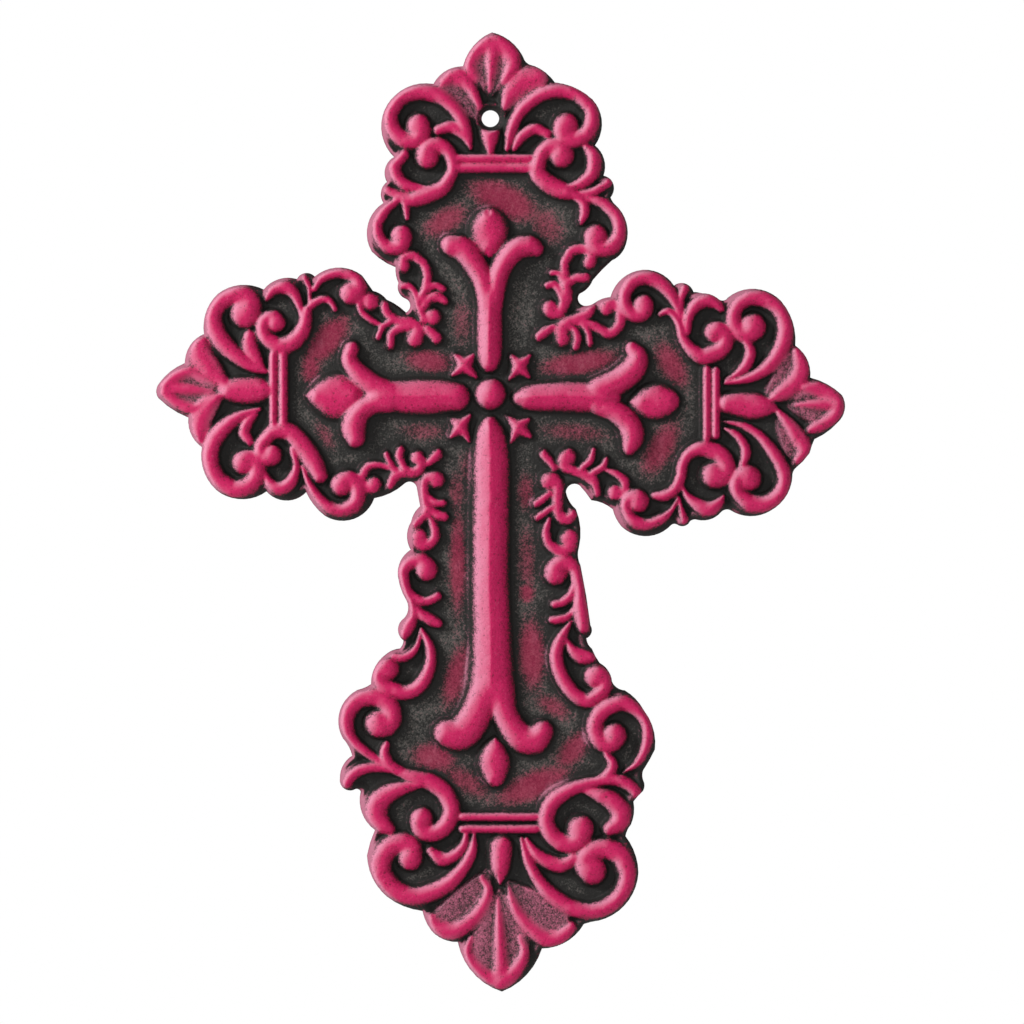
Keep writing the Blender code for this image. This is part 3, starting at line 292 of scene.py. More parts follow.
STARS = {
    "cross_star1a": [(455, 356, 3.5), (464, 365, 7.5), (476, 377, 2.5)],
    "cross_star1b": [(473, 355, 3), (464, 365, 7.5), (452, 375, 2.5)],
    "cross_star2a": [(529, 356, 3.5), (519, 366, 7.5), (509, 379, 2.5)],
    "cross_star2b": [(511, 356, 3), (519, 366, 7.5), (529, 377, 2.5)],
    "cross_star3a": [(451, 436, 3.5), (460, 426, 7.5), (470, 415, 2.5)],
    "cross_star3b": [(450, 419, 2.5), (460, 426, 7.5), (469, 441, 2.5)],
    "cross_star4a": [(507, 417, 2.5), (518, 427, 7.5), (530, 436, 3.5)],
    "cross_star4b": [(529, 419, 2.5), (518, 427, 7.5), (511, 442, 2.5)],
}

LEAF_BEDS = {
    "top_tip_leaf_bed": [(491, 94, 3), (491, 80, 12), (491, 64, 21), (491, 48, 14)],
    "top_left_side_leaf_bed": [(479, 118, 4), (466, 101, 11), (453, 84, 15)],
    "top_right_side_leaf_bed": [(506, 108, 4), (518, 92, 13), (534, 78, 13)],
    "left_tip_leaf_bed": [(216, 392, 3), (200, 391, 13), (184, 389.5, 19), (170, 388, 11)],
    "left_upper_side_leaf_bed": [(226, 386, 4), (210, 374, 12), (200, 360, 13), (199, 348, 9)],
    "left_lower_side_leaf_bed": [(222, 394, 3), (209, 404, 10), (201, 418, 11), (200, 433, 8)],
    "bottom_tip_leaf_bed": [(500, 893, 4), (500, 920, 18), (500, 948, 27), (501, 972, 15)],
    "bottom_left_side_leaf_bed": [(488, 874, 4), (472, 899, 16), (451, 920, 17), (442, 926, 12)],
    "bottom_right_side_leaf_bed": [(510, 884, 4), (530, 904, 15), (551, 917, 15), (557, 920, 12)],
    "right_tip_leaf_bed": [(790, 404, 3), (806, 404, 13), (822, 405, 19), (835, 405, 10)],
    "right_upper_side_leaf_bed": [(768, 399, 3), (779, 389, 11), (791, 373, 14), (794, 360, 9)],
    "right_lower_side_leaf_bed": [(780, 413, 3), (788, 429, 10), (795, 444, 12), (797, 455, 7)],
}

CURLS = {
    "top_left_big": ((418, 126, 12), 170), "top_right_big": ((565, 126, 13), 170),
    "top_left_volute": ((427, 157, 12), 150), "top_left_small": ((401, 236, 11), 160),
    "top_right_volute": ((561, 155, 13), 100), "top_right_small": ((595, 237, 12.5), 170),
    "left_up_big": ((245, 313, 15), 160), "left_up_volute": ((276, 323, 9.5), 170),
    "left_up_small": ((350, 293, 11.5), 110), "left_low_big": ((243, 462, 12), 170),
    "left_low_volute": ((271.5, 455, 10.5), 120), "left_low_small": ((341, 484.5, 11.5), 140),
    "lower_left_hook": ((426, 569, 11.5), 90), "lower_left_long_scroll": ((388, 668, 11.5), 130),
    "lower_left_scroll": ((378, 723, 13.5), 150), "lower_left_main": ((421, 818, 11.5), 150),
    "lower_left_big": ((410, 857, 12.5), 160), "lower_right_big": ((592, 870, 14), 150),
    "lower_right_main": ((580, 828, 13.5), 130), "lower_right_scroll": ((614, 735, 12.5), 170),
    "lower_right_long_scroll": ((595, 676, 12), 110), "lower_right_hook": ((555, 572, 12.5), 90),
    "right_up_small": ((643, 305, 10.5), 170), "right_up_volute": ((714, 332, 11), 130),
    "right_up_big": ((752, 327, 13.5), 140), "right_low_big": ((749, 478, 12.5), 120),
    "right_low_volute": ((713, 475, 13), 130), "right_low_small": ((638, 501, 11), 110),
    "top_left_sprig_curl": ((403.5, 266, 7.5), 90), "top_left_sprig_stem": ((432.5, 317, 9), 0),
    "top_right_sprig_curl": ((589, 262, 8), 100), "top_right_sprig_lower": ((549, 308.5, 9), 60),
    "left_upper_sprig_curl": ((370.5, 302, 9), 60), "left_upper_sprig_band": ((414.5, 338, 9.5), 70),
    "left_lower_sprig_curl": ((373.5, 484, 8.5), 100), "left_lower_sprig_band": ((416.5, 457.5, 8), 80),
    "lower_left_stem_curl": ((436, 479.5, 9), 60), "lower_left_stem_scroll": ((418, 537, 9.5), 110),
    "lower_right_stem_curl": ((548, 480.5, 10), 60), "lower_right_stem_scroll": ((568, 538, 10), 90),
    "right_upper_sprig_curl": ((606, 307, 9), 80), "right_lower_sprig_curl": ((567, 457, 9.5), 60),
    "right_lower_sprig_small": ((613.5, 492, 8.5), 60),
}

EDGE_START = (492, 32.5)
EDGE = [
    ((475, 44.5), (463, 66.5)), ((446, 71), (433.5, 84)), ((414, 85), (395.5, 95.5)),
    ((381.3, 124), (394.5, 157)), ((386, 166), (387, 182)), ((381, 192), (383.5, 203)),
    ((368, 224), (371.5, 251)), ((380, 258.5), (395.5, 266.8)), ((396, 275), (398.5, 283)),
    ((398.2, 290.5), (405, 298)), ((410.2, 306), (406, 312.4)), ((397, 305), (386.7, 299.5)),
    ((380.5, 293.8), (373, 290.8)), ((367.5, 283), (362.2, 275.5)), ((341, 267.6), (314.8, 276.5)),
    ((305.5, 273), (297, 279)), ((281, 278.5), (263.8, 289.4)), ((240, 285), (218, 294)),
    ((207, 310), (204, 334)), ((192, 343), (184.8, 363)), ((171, 371), (159.2, 383.3)),
    ((156.3, 390.5), (158.5, 398)), ((169, 407), (188.4, 417.5)), ((190.3, 432), (202, 447)),
    ((204, 471), (216.3, 489.8)), ((240, 499), (266.3, 491)), ((284, 500.3), (306, 491.7)),
    ((313, 503.5), (325, 515.7)), ((350, 519.8), (374, 498)), ((390, 493), (404, 483.7)),
    ((413.5, 482.6), (417, 488.5)), ((418.5, 497), (420.2, 506)), ((414, 513.5), (411.2, 521.4)),
    ((407, 535), (410.7, 549.5)), ((400, 562), (398, 576)), ((401.5, 590), (407, 601)),
    ((408.3, 608), (404, 618)), ((398.2, 627), (403.5, 640)), ((402.5, 644.5), (399.5, 648.5)),
    ((392, 650.3), (386, 654)), ((376.5, 664), (371, 684)), ((364, 687.8), (357, 690)),
    ((338.8, 715), (343, 738)), ((349, 746.5), (352.3, 755.5)), ((342.5, 766), (340, 778)),
    ((344, 788), (354, 789.4)), ((357.5, 788.6), (360.7, 791)), ((361.5, 811), (375, 829.5)),
    ((370.5, 841), (367, 855)), ((372, 876), (387, 896)), ((402, 905), (422.5, 910.5)),
    ((425.5, 920), (431.5, 930)), ((441, 937.5), (457.8, 941.5)), ((472, 971), (502, 991)),
    ((524, 977), (542, 948)), ((563, 943), (584, 923.5)), ((590, 921.7), (599, 920)),
    ((627, 902), (638.5, 872)), ((636, 856), (625.5, 836)), ((627, 830.5), (631, 824)),
    ((634, 813), (633.5, 801)), ((637, 796.5), (643, 790.5)), ((644.5, 786), (643.3, 780)),
    ((642.4, 775), (643.2, 770)), ((649, 760.5), (655, 749)), ((653.5, 729), (644, 710)),
    ((634, 697), (625, 690.3)), ((617, 687.5), (612, 681)), ((609, 671.5), (600, 663)),
    ((595.5, 656), (592, 648.5)), ((588, 643.5), (586.5, 638)), ((591.5, 632.5), (590.5, 625)),
    ((586.5, 597), (580.5, 565)), ((578, 556), (579, 547)), ((580.6, 530), (576, 509)),
    ((570, 502), (566, 492)), ((572, 484), (580, 485.3)), ((586.5, 493), (591.5, 500)),
    ((602, 502.5), (613, 509)), ((616.5, 518.5), (622, 526.5)), ((645, 536), (671, 525)),
    ((674.5, 523.6), (678, 524.7)), ((683, 526), (690, 521)), ((694, 519.3), (698, 519.7)),
    ((709, 519.5), (721, 512)), ((726, 509.3), (731, 510)), ((750, 516), (770, 510.8)),
    ((786, 496), (792.5, 476)), ((793.2, 471.5), (795.5, 468)), ((803.5, 460.5), (809.5, 453)),
    ((812, 445), (814.5, 439)), ((827, 432), (838, 422)), ((845, 406), (842, 395)),
    ((828, 384.5), (810.3, 377.5)), ((807.5, 360), (795.3, 345.5)), ((793, 323), (781, 301)),
    ((755, 288.8), (728, 297.5)), ((723.5, 300.5), (719, 299.5)), ((711, 294.7), (702, 293.3)),
    ((698, 292.3), (693.5, 292)), ((684, 283.2), (674, 285.5)), ((661, 273.7), (643, 269.8)),
    ((624, 277), (610.5, 297)), ((602, 298.8), (594.5, 303)), ((590, 305.2), (584.5, 305.7)),
    ((578.2, 300), (580, 293.1)), ((588, 287.5), (593, 279.5)), ((602, 269.5), (612, 260)),
    ((619, 255.5), (624.5, 248.2)), ((627.5, 228), (615.3, 204.8)), ((612.5, 201.5), (610.5, 197)),
    ((614, 187), (603.6, 175.7)), ((604.8, 162), (594.8, 145.3)), ((602, 122), (592.4, 99.6)),
    ((577, 89), (555, 82.5)), ((546, 73), (534, 66)), ((529, 64.4), (525, 61)), ((514, 44.5), (492, 32.5)),
]

# Soft places on the open field where the brush has left pink: x, y, half length, half width, turn, strength
BRUSHED: tuple[tuple[float, float, float, float, float, float], ...] = (
    (445, 221, 25, 13, -30, 0.75),
    (503, 200, 36, 17, 25, 1.0),
    (546, 226, 24, 15, 50, 0.5),
    (327, 340, 30, 14, -50, 1.0),
    (311, 366, 20, 10, 95, 0.8),
    (429, 361, 24, 12, 10, 0.85),
    (424, 431, 26, 10, 0, 0.45),
    (325, 436, 17, 8, 60, 0.45),
    (462, 324, 24, 11, 90, 0.4),
    (468, 470, 22, 11, 90, 0.35),
    (580, 363, 40, 12, -9, 0.95),
    (574, 432, 36, 10, 5, 0.5),
    (672, 365, 26, 13, 60, 0.8),
    (661, 448, 30, 14, -60, 0.8),
    (458, 562, 54, 9, 90, 0.8),
    (457, 492, 22, 9, 90, 0.5),
    (456, 676, 32, 12, 105, 0.8),
    (526, 492, 20, 9, 90, 0.6),
    (527, 560, 34, 10, 90, 0.5),
    (527, 592, 10, 8, 90, 0.8),
    (532, 654, 36, 14, 88, 0.9),
    (553, 706, 20, 10, 30, 0.6),
    (434, 757, 22, 14, 10, 0.9),
    (466, 781, 30, 12, 30, 0.6),
    (534, 785, 40, 14, -22, 0.9),
    (574, 749, 24, 12, -50, 0.8),
)


# How full the shoulders of each section are, how far a gable falls to its eaves, and a dish's rim and floor
ROUND_SHOULDER = 0.62
CREASE_SHOULDER = 0.7
GABLE_SHOULDER = 0.8
GABLE_FALL = 0.45
DISH_RIM_STEEPNESS = 5
DISH_FLOOR = 0.6

# A scroll's spiral ends this far from the middle of its eye and this wide, as shares of the eye's radius
EYE_CORE = 0.3
EYE_FULLNESS = 0.8


class Form(Enum):
    """The cross-section of a ridge."""

    ROUND = "round"
    CREASED = "creased"
    GABLED = "gabled"
    DISHED = "dished"

    def section(self, away: np.ndarray) -> np.ndarray:
        """Give the height across a ridge as a share of its crest.

        Args:
            away: The distance from its middle line as a share of the half width, from 0 to 1.

        Returns:
            The share of the full height there.
        """
        match self:
            case Form.ROUND:
                return (1 - away**2) ** ROUND_SHOULDER
            case Form.CREASED:
                return (1 - away**1.5) ** CREASE_SHOULDER
            case Form.GABLED:
                return (1 - GABLE_FALL * away) * (1 - away**4) ** GABLE_SHOULDER
            case Form.DISHED:
                rim = np.minimum((1 - away) * DISH_RIM_STEEPNESS, 1) ** 0.5
                return rim * (DISH_FLOOR + (1 - DISH_FLOOR) * away**2)


@dataclass(frozen=True)
class Family:
    """A family of ridges that share their rise and their section."""

    ridges: dict[str, list[Guide]]
    rise: float
    full_width: float
    form: Form


FAMILIES: tuple[Family, ...] = (
    Family(SCROLLS, 0.0036, 9.0, Form.ROUND),
    Family(LEAVES, 0.0030, 7.0, Form.ROUND),
    Family(SPRIGS, 0.0024, 5.0, Form.ROUND),
    Family(RODS, 0.0030, 4.0, Form.ROUND),
    Family(BUDS, 0.0036, 11.0, Form.ROUND),
    Family(BARS, 0.0048, 14.0, Form.GABLED),
    Family(PETALS, 0.0044, 12.0, Form.ROUND),
    Family(STARS, 0.0028, 7.5, Form.CREASED),
)
BEDS = Family(LEAF_BEDS, 0.0022, 12.0, Form.DISHED)


def arc_points(start: Point, crown: Point, end: Point, turn_step: float) -> list[Point]:
    """Walk a three-point arc.

    Args:
        start: Where the arc begins.
        crown: A point that it passes.
        end: Where it ends.
        turn_step: The largest turn between two points, in radians.

    Returns:
        The points after start, with end as the last.
    """
    (ax, ay), (bx, by), (cx, cy) = start, crown, end
    double = 2 * (ax * (by - cy) + bx * (cy - ay) + cx * (ay - by))
    a2, b2, c2 = ax * ax + ay * ay, bx * bx + by * by, cx * cx + cy * cy
    mid_x = (a2 * (by - cy) + b2 * (cy - ay) + c2 * (ay - by)) / double
    mid_y = (a2 * (cx - bx) + b2 * (ax - cx) + c2 * (bx - ax)) / double
    first = math.atan2(ay - mid_y, ax - mid_x)
    sweep = (math.atan2(cy - mid_y, cx - mid_x) - first) % math.tau
    if (bx - ax) * (cy - ay) < (by - ay) * (cx - ax):
        sweep -= math.tau
    radius = math.hypot(ax - mid_x, ay - mid_y)
    count = max(2, math.ceil(abs(sweep) / turn_step))
    angles = [first + sweep * step / count for step in range(1, count + 1)]
    return [(mid_x + radius * math.cos(a), mid_y + radius * math.sin(a)) for a in angles]


def smooth_run(guides: Sequence[Guide], steps: int = 8) -> list[Guide]:
    """Draw a smooth run through the guides of a ridge.

    Args:
        guides: Places and half widths along the ridge.
        steps: Samples between two guides.

    Returns:
        Samples of (x, y, half width) along the run.
    """
    before = tuple(2 * a - b for a, b in zip(guides[0], guides[1]))
    after = tuple(2 * a - b for a, b in zip(guides[-1], guides[-2]))
    line = [before, *guides, after]
    run: list[Guide] = []
    for p, q, r, s in zip(line, line[1:], line[2:], line[3:]):
        for step in range(steps):
            t = step / steps
            sample = (
                b + 0.5 * ((c - a) * t + (2 * a - 5 * b + 4 * c - d) * t**2 + (3 * b - a - 3 * c + d) * t**3)
                for a, b, c, d in zip(p, q, r, s)
            )
            run.append(tuple(sample))
    return run + [tuple(guides[-1])]


def spiral(run: Sequence[Guide], eye: Guide, turn: float, steps: int = 24) -> list[Guide]:
    """Lead a run on into its eye.

    Args:
        run: The samples of the ridge so far.
        eye: Centre and radius of the round eye.
        turn: How far the ridge winds about the eye, in degrees.
        steps: Samples along the spiral.

    Returns:
        The samples of the spiral alone.
    """
    eye_x, eye_y, eye_radius = eye
    (last_x, last_y, last_width), (near_x, near_y, _) = run[-1], run[-2]
    out_x, out_y = last_x - eye_x, last_y - eye_y
    side = 1 if out_x * (last_y - near_y) > out_y * (last_x - near_x) else -1
    start, reach = math.atan2(out_y, out_x), math.hypot(out_x, out_y)
    core, fullness = EYE_CORE * eye_radius, EYE_FULLNESS * eye_radius
    points: list[Guide] = []
    for step in range(1, steps + 1):
        share = step / steps
        angle = start + side * math.radians(turn) * share
        radius = reach + (core - reach) * share
        half_width = last_width + (fullness - last_width) * share
        points.append((eye_x + radius * math.cos(angle), eye_y + radius * math.sin(angle), half_width))
    return points


def soften(field_map: np.ndarray, sigma: float) -> np.ndarray:
    """Blur a map with a round Gaussian brush.

    Args:
        field_map: The map.
        sigma: The brush's spread, in cells.

    Returns:
        The softened map.
    """
    reach = max(1, math.ceil(3 * sigma))
    brush = np.exp(-0.5 * (np.arange(-reach, reach + 1) / sigma) ** 2)
    brush /= brush.sum()
    result = field_map
    for axis in (0, 1):
        padded = np.pad(result, [(reach, reach) if a == axis else (0, 0) for a in (0, 1)], mode="edge")
        size = result.shape[axis]
        result = sum(
            weight * np.take(padded, range(offset, offset + size), axis=axis)
            for offset, weight in enumerate(brush)
        )
    return result


@dataclass
class Relief:
    """The carved front as maps over a square-celled grid.

    The rows of a map go down the front and its columns go to the right. Heights are in metres, and lengths
    across the front are in grid steps.
    """

    cell: float = 1.1
    margin: float = 4.0
    field_height: float = 0.0040
    lowest_share: float = 0.42
    spread: float = 1.13
    fillet: float = 0.0013
    edge_reach: float = 10.0
    edge_round: float = 4.5
    edge_drop: float = 0.0010
    edge_sink: float = 0.5
    margin_share: float = 0.5
    crest_share: float = 1.6
    dome_flatness: float = 2.2
    dome_shoulder: float = 0.55
    dome_crest_share: float = 1.8
    eye_spread: float = 1.14
    eye_rise: float = 1.08
    knob_radius: float = 17
    knob_rise: float = 0.0050
    collar_radius: float = 17
    collar_rise: float = 0.0024
    sink_radius: float = 11.0
    sink_slope: float = 3.5
    bed_seen: float = 0.0004
    bed_covered: float = 0.0010
    hollow_blur: float = 2.0
    rise_blur: float = 0.9
    crest_blur: float = 0.8
    flank_cells: int = 5
    flank_blur: float = 3.0
    flank_gain: float = 1.4
    rim_gain: float = 1.3
    rim_paint: float = 0.4
    # Extra paint on the margin where it faces the key lamp, a painted highlight
    rim_highlight_paint: float = 0.9
    top_share: float = 0.35
    slope_blur: float = 0.8
    slope_gain: float = 1.6
    uneven_seed: int = 7
    uneven_waves: tuple[tuple[float, float], ...] = ((7.0, 0.00007), (2.2, 0.00003))
    left: float = field(init=False)
    top: float = field(init=False)
    xs: np.ndarray = field(init=False)
    ys: np.ndarray = field(init=False)
    rise: np.ndarray = field(init=False)
    crest: np.ndarray = field(init=False)
    edge: np.ndarray = field(init=False)
    hollow: np.ndarray = field(init=False)

    def __post_init__(self) -> None:
        """Lay out the empty maps over the outline's box."""
        outline = self.outline(math.radians(8))
        xs, ys = [p[0] for p in outline], [p[1] for p in outline]
        self.left, self.top = min(xs) - self.margin, min(ys) - self.margin
        self.xs = np.arange(self.left, max(xs) + self.margin, self.cell)
        self.ys = np.arange(self.top, max(ys) + self.margin, self.cell)
        self.rise = np.zeros((len(self.ys), len(self.xs)))
        self.crest = np.zeros_like(self.rise)
        self.edge = self.edge_distance()

    @staticmethod
    def outline(turn_step: float) -> list[Point]:
        """Give the scalloped outline on the layout grid.

        Args:
            turn_step: The largest turn between two points, in radians.

        Returns:
            Its corners in order.
        """
        points = [EDGE_START]
        for crown, end in EDGE:
            points += arc_points(points[-1], crown, end, turn_step)
        return points[:-1]

    def window(self, points: np.ndarray, reach: float) -> tuple[slice, slice, np.ndarray, np.ndarray]:
        """Cut the part of the maps around some points.

        Args:
            points: Rows of (x, y, ...).
            reach: How far around them, in grid steps.

        Returns:
            The rows and columns as slices, and the x and y of each cell there.
        """
        low, high = points[:, :2].min(axis=0) - reach, points[:, :2].max(axis=0) + reach
        columns = slice(*np.searchsorted(self.xs, (low[0], high[0])))
        rows = slice(*np.searchsorted(self.ys, (low[1], high[1])))
        grid_x, grid_y = np.meshgrid(self.xs[columns], self.ys[rows])
        return rows, columns, grid_x, grid_y

    def lift(self, rows: slice, columns: slice, height: np.ndarray, crest: np.ndarray) -> None:
        """Raise the relief where it is lower, with a fillet, and note how near the crest it is.

        Args:
            rows: The rows of the part to raise.
            columns: Its columns.
            height: The height to raise it to.
            crest: How near each cell is to a crest, from 0 to 1.
        """
        before = self.rise[rows, columns]
        both = np.clip(np.minimum(before, height) / self.fillet, 0, 1)
        corner = np.clip(self.fillet - np.abs(before - height), 0, None) ** 2 / (4 * self.fillet)
        self.rise[rows, columns] = np.maximum(before, height) + both * corner
        self.crest[rows, columns] = np.maximum(self.crest[rows, columns], crest)

    def ridge(self, samples: Sequence[Guide], family: Family) -> None:
        """Raise one ridge along its samples.

        Args:
            samples: Places and half widths along the ridge.
            family: Its rise and section.
        """
        line = np.array(samples) * (1, 1, self.spread)
        rows, columns, grid_x, grid_y = self.window(line, line[:, 2].max() + 2)
        nearest = np.full(grid_x.shape, 9.0)
        width = np.ones(grid_x.shape)
        for (ax, ay, aw), (bx, by, bw) in zip(line, line[1:]):
            run_x, run_y = bx - ax, by - ay
            length = run_x * run_x + run_y * run_y
            along = np.clip(((grid_x - ax) * run_x + (grid_y - ay) * run_y) / max(length, 1e-9), 0, 1)
            here = aw + (bw - aw) * along
            share = np.hypot(grid_x - ax - along * run_x, grid_y - ay - along * run_y) / here
            closer = share < nearest
            nearest[closer] = share[closer]
            width[closer] = here[closer]
        level = self.lowest_share + (1 - self.lowest_share) * np.minimum(width / family.full_width, 1)
        away = np.clip(nearest, 0, 1)
        height = family.rise * level * family.form.section(away)
        self.lift(rows, columns, height, np.clip((1 - away) * self.crest_share, 0, 1))

    def dome(self, centre: Point, radius: float, rise: float) -> None:
        """Raise a round eye, knob or collar.

        Args:
            centre: Its middle on the grid.
            radius: Its radius in grid steps.
            rise: Its height over the field.
        """
        rows, columns, grid_x, grid_y = self.window(np.array([centre]), radius + 2)
        share = np.clip(np.hypot(grid_x - centre[0], grid_y - centre[1]) / radius, 0, 1)
        height = rise * (1 - share**self.dome_flatness) ** self.dome_shoulder
        self.lift(rows, columns, height, np.clip((1 - share) * self.dome_crest_share, 0, 1))

    def carve(self) -> None:
        """Raise every leaf bed, ridge, eye and boss, then soften the whole as a casting is soft."""
        for guides in LEAF_BEDS.values():
            self.ridge(smooth_run(guides), BEDS)
        beds = self.rise.copy()
        self.crest[:] = 0
        for family in FAMILIES:
            for name, guides in family.ridges.items():
                run = smooth_run(guides)
                if name in CURLS:
                    eye, turn = CURLS[name]
                    if turn:
                        run += spiral(run, eye, turn)
                    self.dome(eye[:2], self.eye_spread * eye[2], self.eye_rise * family.rise)
                self.ridge(run, family)
        self.dome(KNOB_AT, self.knob_radius, self.knob_rise)
        open_share = np.clip(1 - (self.rise - beds) / self.bed_covered, 0, 1)
        self.hollow = soften(np.clip(beds / self.bed_seen, 0, 1) * open_share, self.hollow_blur)
        self.fill_the_margin()
        self.countersink()
        self.rise = soften(self.rise, self.rise_blur / self.cell)
        self.crest = soften(self.crest, self.crest_blur / self.cell)
        fall = 1 - np.sqrt(1 - (1 - np.minimum(self.edge / self.edge_round, 1)) ** 2)
        self.rise = self.rise * (1 - self.edge_sink * fall) - self.edge_drop * fall
        self.unsettle()

    def edge_distance(self) -> np.ndarray:
        """Map the distance to the outline.

        Returns:
            The distance of each cell in grid steps, up to edge_reach.
        """
        result = np.full_like(self.rise, self.edge_reach)
        line = self.outline(math.radians(9))
        for a, b in zip(line, line[1:] + line[:1]):
            rows, columns, grid_x, grid_y = self.window(np.array([a, b]), self.edge_reach)
            run_x, run_y = b[0] - a[0], b[1] - a[1]
            along = ((grid_x - a[0]) * run_x + (grid_y - a[1]) * run_y) / max(run_x**2 + run_y**2, 1e-9)
            along = np.clip(along, 0, 1)
            away = np.hypot(grid_x - a[0] - along * run_x, grid_y - a[1] - along * run_y)
            result[rows, columns] = np.minimum(result[rows, columns], away)
        return result

    def fill_the_margin(self) -> None:
        """Let the outer flanks of the ridges run out to the outline, where they are near to it."""
        near = self.rise
        for axis in (0, 1):
            shifts = range(-self.flank_cells, self.flank_cells + 1)
            near = np.maximum.reduce([np.roll(near, shift, axis=axis) for shift in shifts])
        near = soften(near, self.flank_blur)
        closeness = np.clip(self.flank_gain * (1 - self.edge / self.edge_reach), 0, 1)
        self.rise = np.maximum(self.rise, near * self.margin_share * closeness)

    def countersink(self) -> None:
        """Raise the collar of the hanging hole and sink its bare rim."""
        self.dome(HOLE_AT, self.collar_radius, self.collar_rise)
        reach = self.sink_radius + self.sink_slope + 1.5
        rows, columns, grid_x, grid_y = self.window(np.array([HOLE_AT]), reach)
        away = np.hypot(grid_x - HOLE_AT[0], grid_y - HOLE_AT[1])
        sunk = np.clip((away - self.sink_radius) / self.sink_slope, 0, 1)
        self.rise[rows, columns] *= sunk
        self.crest[rows, columns] *= sunk

    def unsettle(self) -> None:
        """Make the whole front slightly uneven, as sand-cast iron is."""
        noise = np.random.default_rng(self.uneven_seed)
        for spread, height in self.uneven_waves:
            waves = soften(noise.standard_normal(self.rise.shape), spread / self.cell)
            self.rise += waves * (height / waves.std())

    def brushed(self) -> np.ndarray:
        """Map where the brush has reached the open field and the margin by the outline, with more paint on
        the margin where it faces the key lamp as a painted highlight.

        Returns:
            The share of paint on each cell, from 0.
        """
        grid_x, grid_y = np.meshgrid(self.xs, self.ys)
        result = np.zeros_like(self.rise)
        for x, y, long, wide, turn, strength in BRUSHED:
            c, s = math.cos(math.radians(turn)), math.sin(math.radians(turn))
            along = ((grid_x - x) * c + (grid_y - y) * s) / long
            across = ((grid_y - y) * c - (grid_x - x) * s) / wide
            result = np.maximum(result, strength * np.exp(-((along**2 + across**2) ** 1.5)))
        # The margin takes paint, and more where it faces the key lamp, a painted highlight
        margin = np.clip(self.rim_gain * (1 - self.edge / self.edge_reach), 0, 1)
        return np.maximum(result, margin * (self.rim_paint + self.rim_highlight_paint * self.highlight_slope()))

    def highlight_slope(self) -> np.ndarray:
        """Map how far the front slopes down to the left and a little to the top, toward the key lamp; the
        finish paints a highlight on these slopes.

        Returns:
            The slope of each cell, from 0 to 1.
        """
        down, across = np.gradient(self.rise, STEP * self.cell)
        slope = soften(across + self.top_share * down, self.slope_blur)
        return np.clip(self.slope_gain * slope, 0, 1)

    def sample(self, values: np.ndarray, points: np.ndarray) -> np.ndarray:
        """Read a map at some mesh points.

        Args:
            values: The map.
            points: Rows of (x, y, z) in metres.

        Returns:
            One value for each point, read between the cells.
        """
        column = (points[:, 0] * GRID_WIDTH / WIDTH + HOLE_AT[0] - self.left) / self.cell
        row = (HOLE_AT[1] - points[:, 2] / STEP - self.top) / self.cell
        column = np.clip(column, 0, len(self.xs) - 1.001)
        row = np.clip(row, 0, len(self.ys) - 1.001)
        c, r = column.astype(int), row.astype(int)
        u, v = column - c, row - r
        upper = values[r, c] * (1 - u) + values[r, c + 1] * u
        lower = values[r + 1, c] * (1 - u) + values[r + 1, c + 1] * u
        return upper * (1 - v) + lower * v


class Value:
    """A number socket that can be used in plain arithmetic, where each operator adds its Math node."""

    def __init__(self, tree: bpy.types.NodeTree, socket: Any) -> None:
        """Wrap a socket of a node tree, or a plain number."""
        self.tree = tree
        self.socket = socket

    def _math(self, operation: str, *values: Any, clamp: bool = False) -> "Value":
        """Add a Math node.

        Args:
            operation: What it works out.
            *values: Its inputs in order.
            clamp: Whether the result stays between 0 and 1.

        Returns:
            The result.
        """
        node = self.tree.nodes.new("ShaderNodeMath")
        node.operation = operation
        node.use_clamp = clamp
        for slot, value in zip(node.inputs, values):
            feed(self.tree, slot, value)
        return Value(self.tree, node.outputs[0])

    def __add__(self, other: Any) -> "Value":
        """Add."""
        return self._math("ADD", self, other)

    __radd__ = __add__

    def __sub__(self, other: Any) -> "Value":
        """Subtract."""
        return self._math("SUBTRACT", self, other)

    def __rsub__(self, other: Any) -> "Value":
        """Subtract from a number."""
        return self._math("SUBTRACT", other, self)

    def __mul__(self, other: Any) -> "Value":
        """Multiply."""
        return self._math("MULTIPLY", self, other)

    __rmul__ = __mul__

    def __or__(self, other: Any) -> "Value":
        """Take the larger."""
        return self._math("MAXIMUM", self, other)

    def between(self, low: float, high: float) -> "Value":
        """Rise smoothly from 0 to 1.

        Args:
            low: The value that gives 0.
            high: The value that gives 1.

        Returns:
            The share of the way.
        """
        node = self.tree.nodes.new("ShaderNodeMapRange")
        node.interpolation_type = "SMOOTHSTEP"
        feed(self.tree, node.inputs["Value"], self)
        node.inputs["From Min"].default_value = low
        node.inputs["From Max"].default_value = high
        return Value(self.tree, node.outputs[0])


def feed(tree: bpy.types.NodeTree, slot: Any, value: Any) -> None:
    """Link a value to an input, or set it there.

    Args:
        tree: The node tree.
        slot: The input.
        value: A wrapped value, a socket, a number, a vector or a colour.
    """
    if isinstance(value, Value):
        value = value.socket
    if isinstance(value, bpy.types.NodeSocket):
        tree.links.new(value, slot)
    else:
        slot.default_value = value


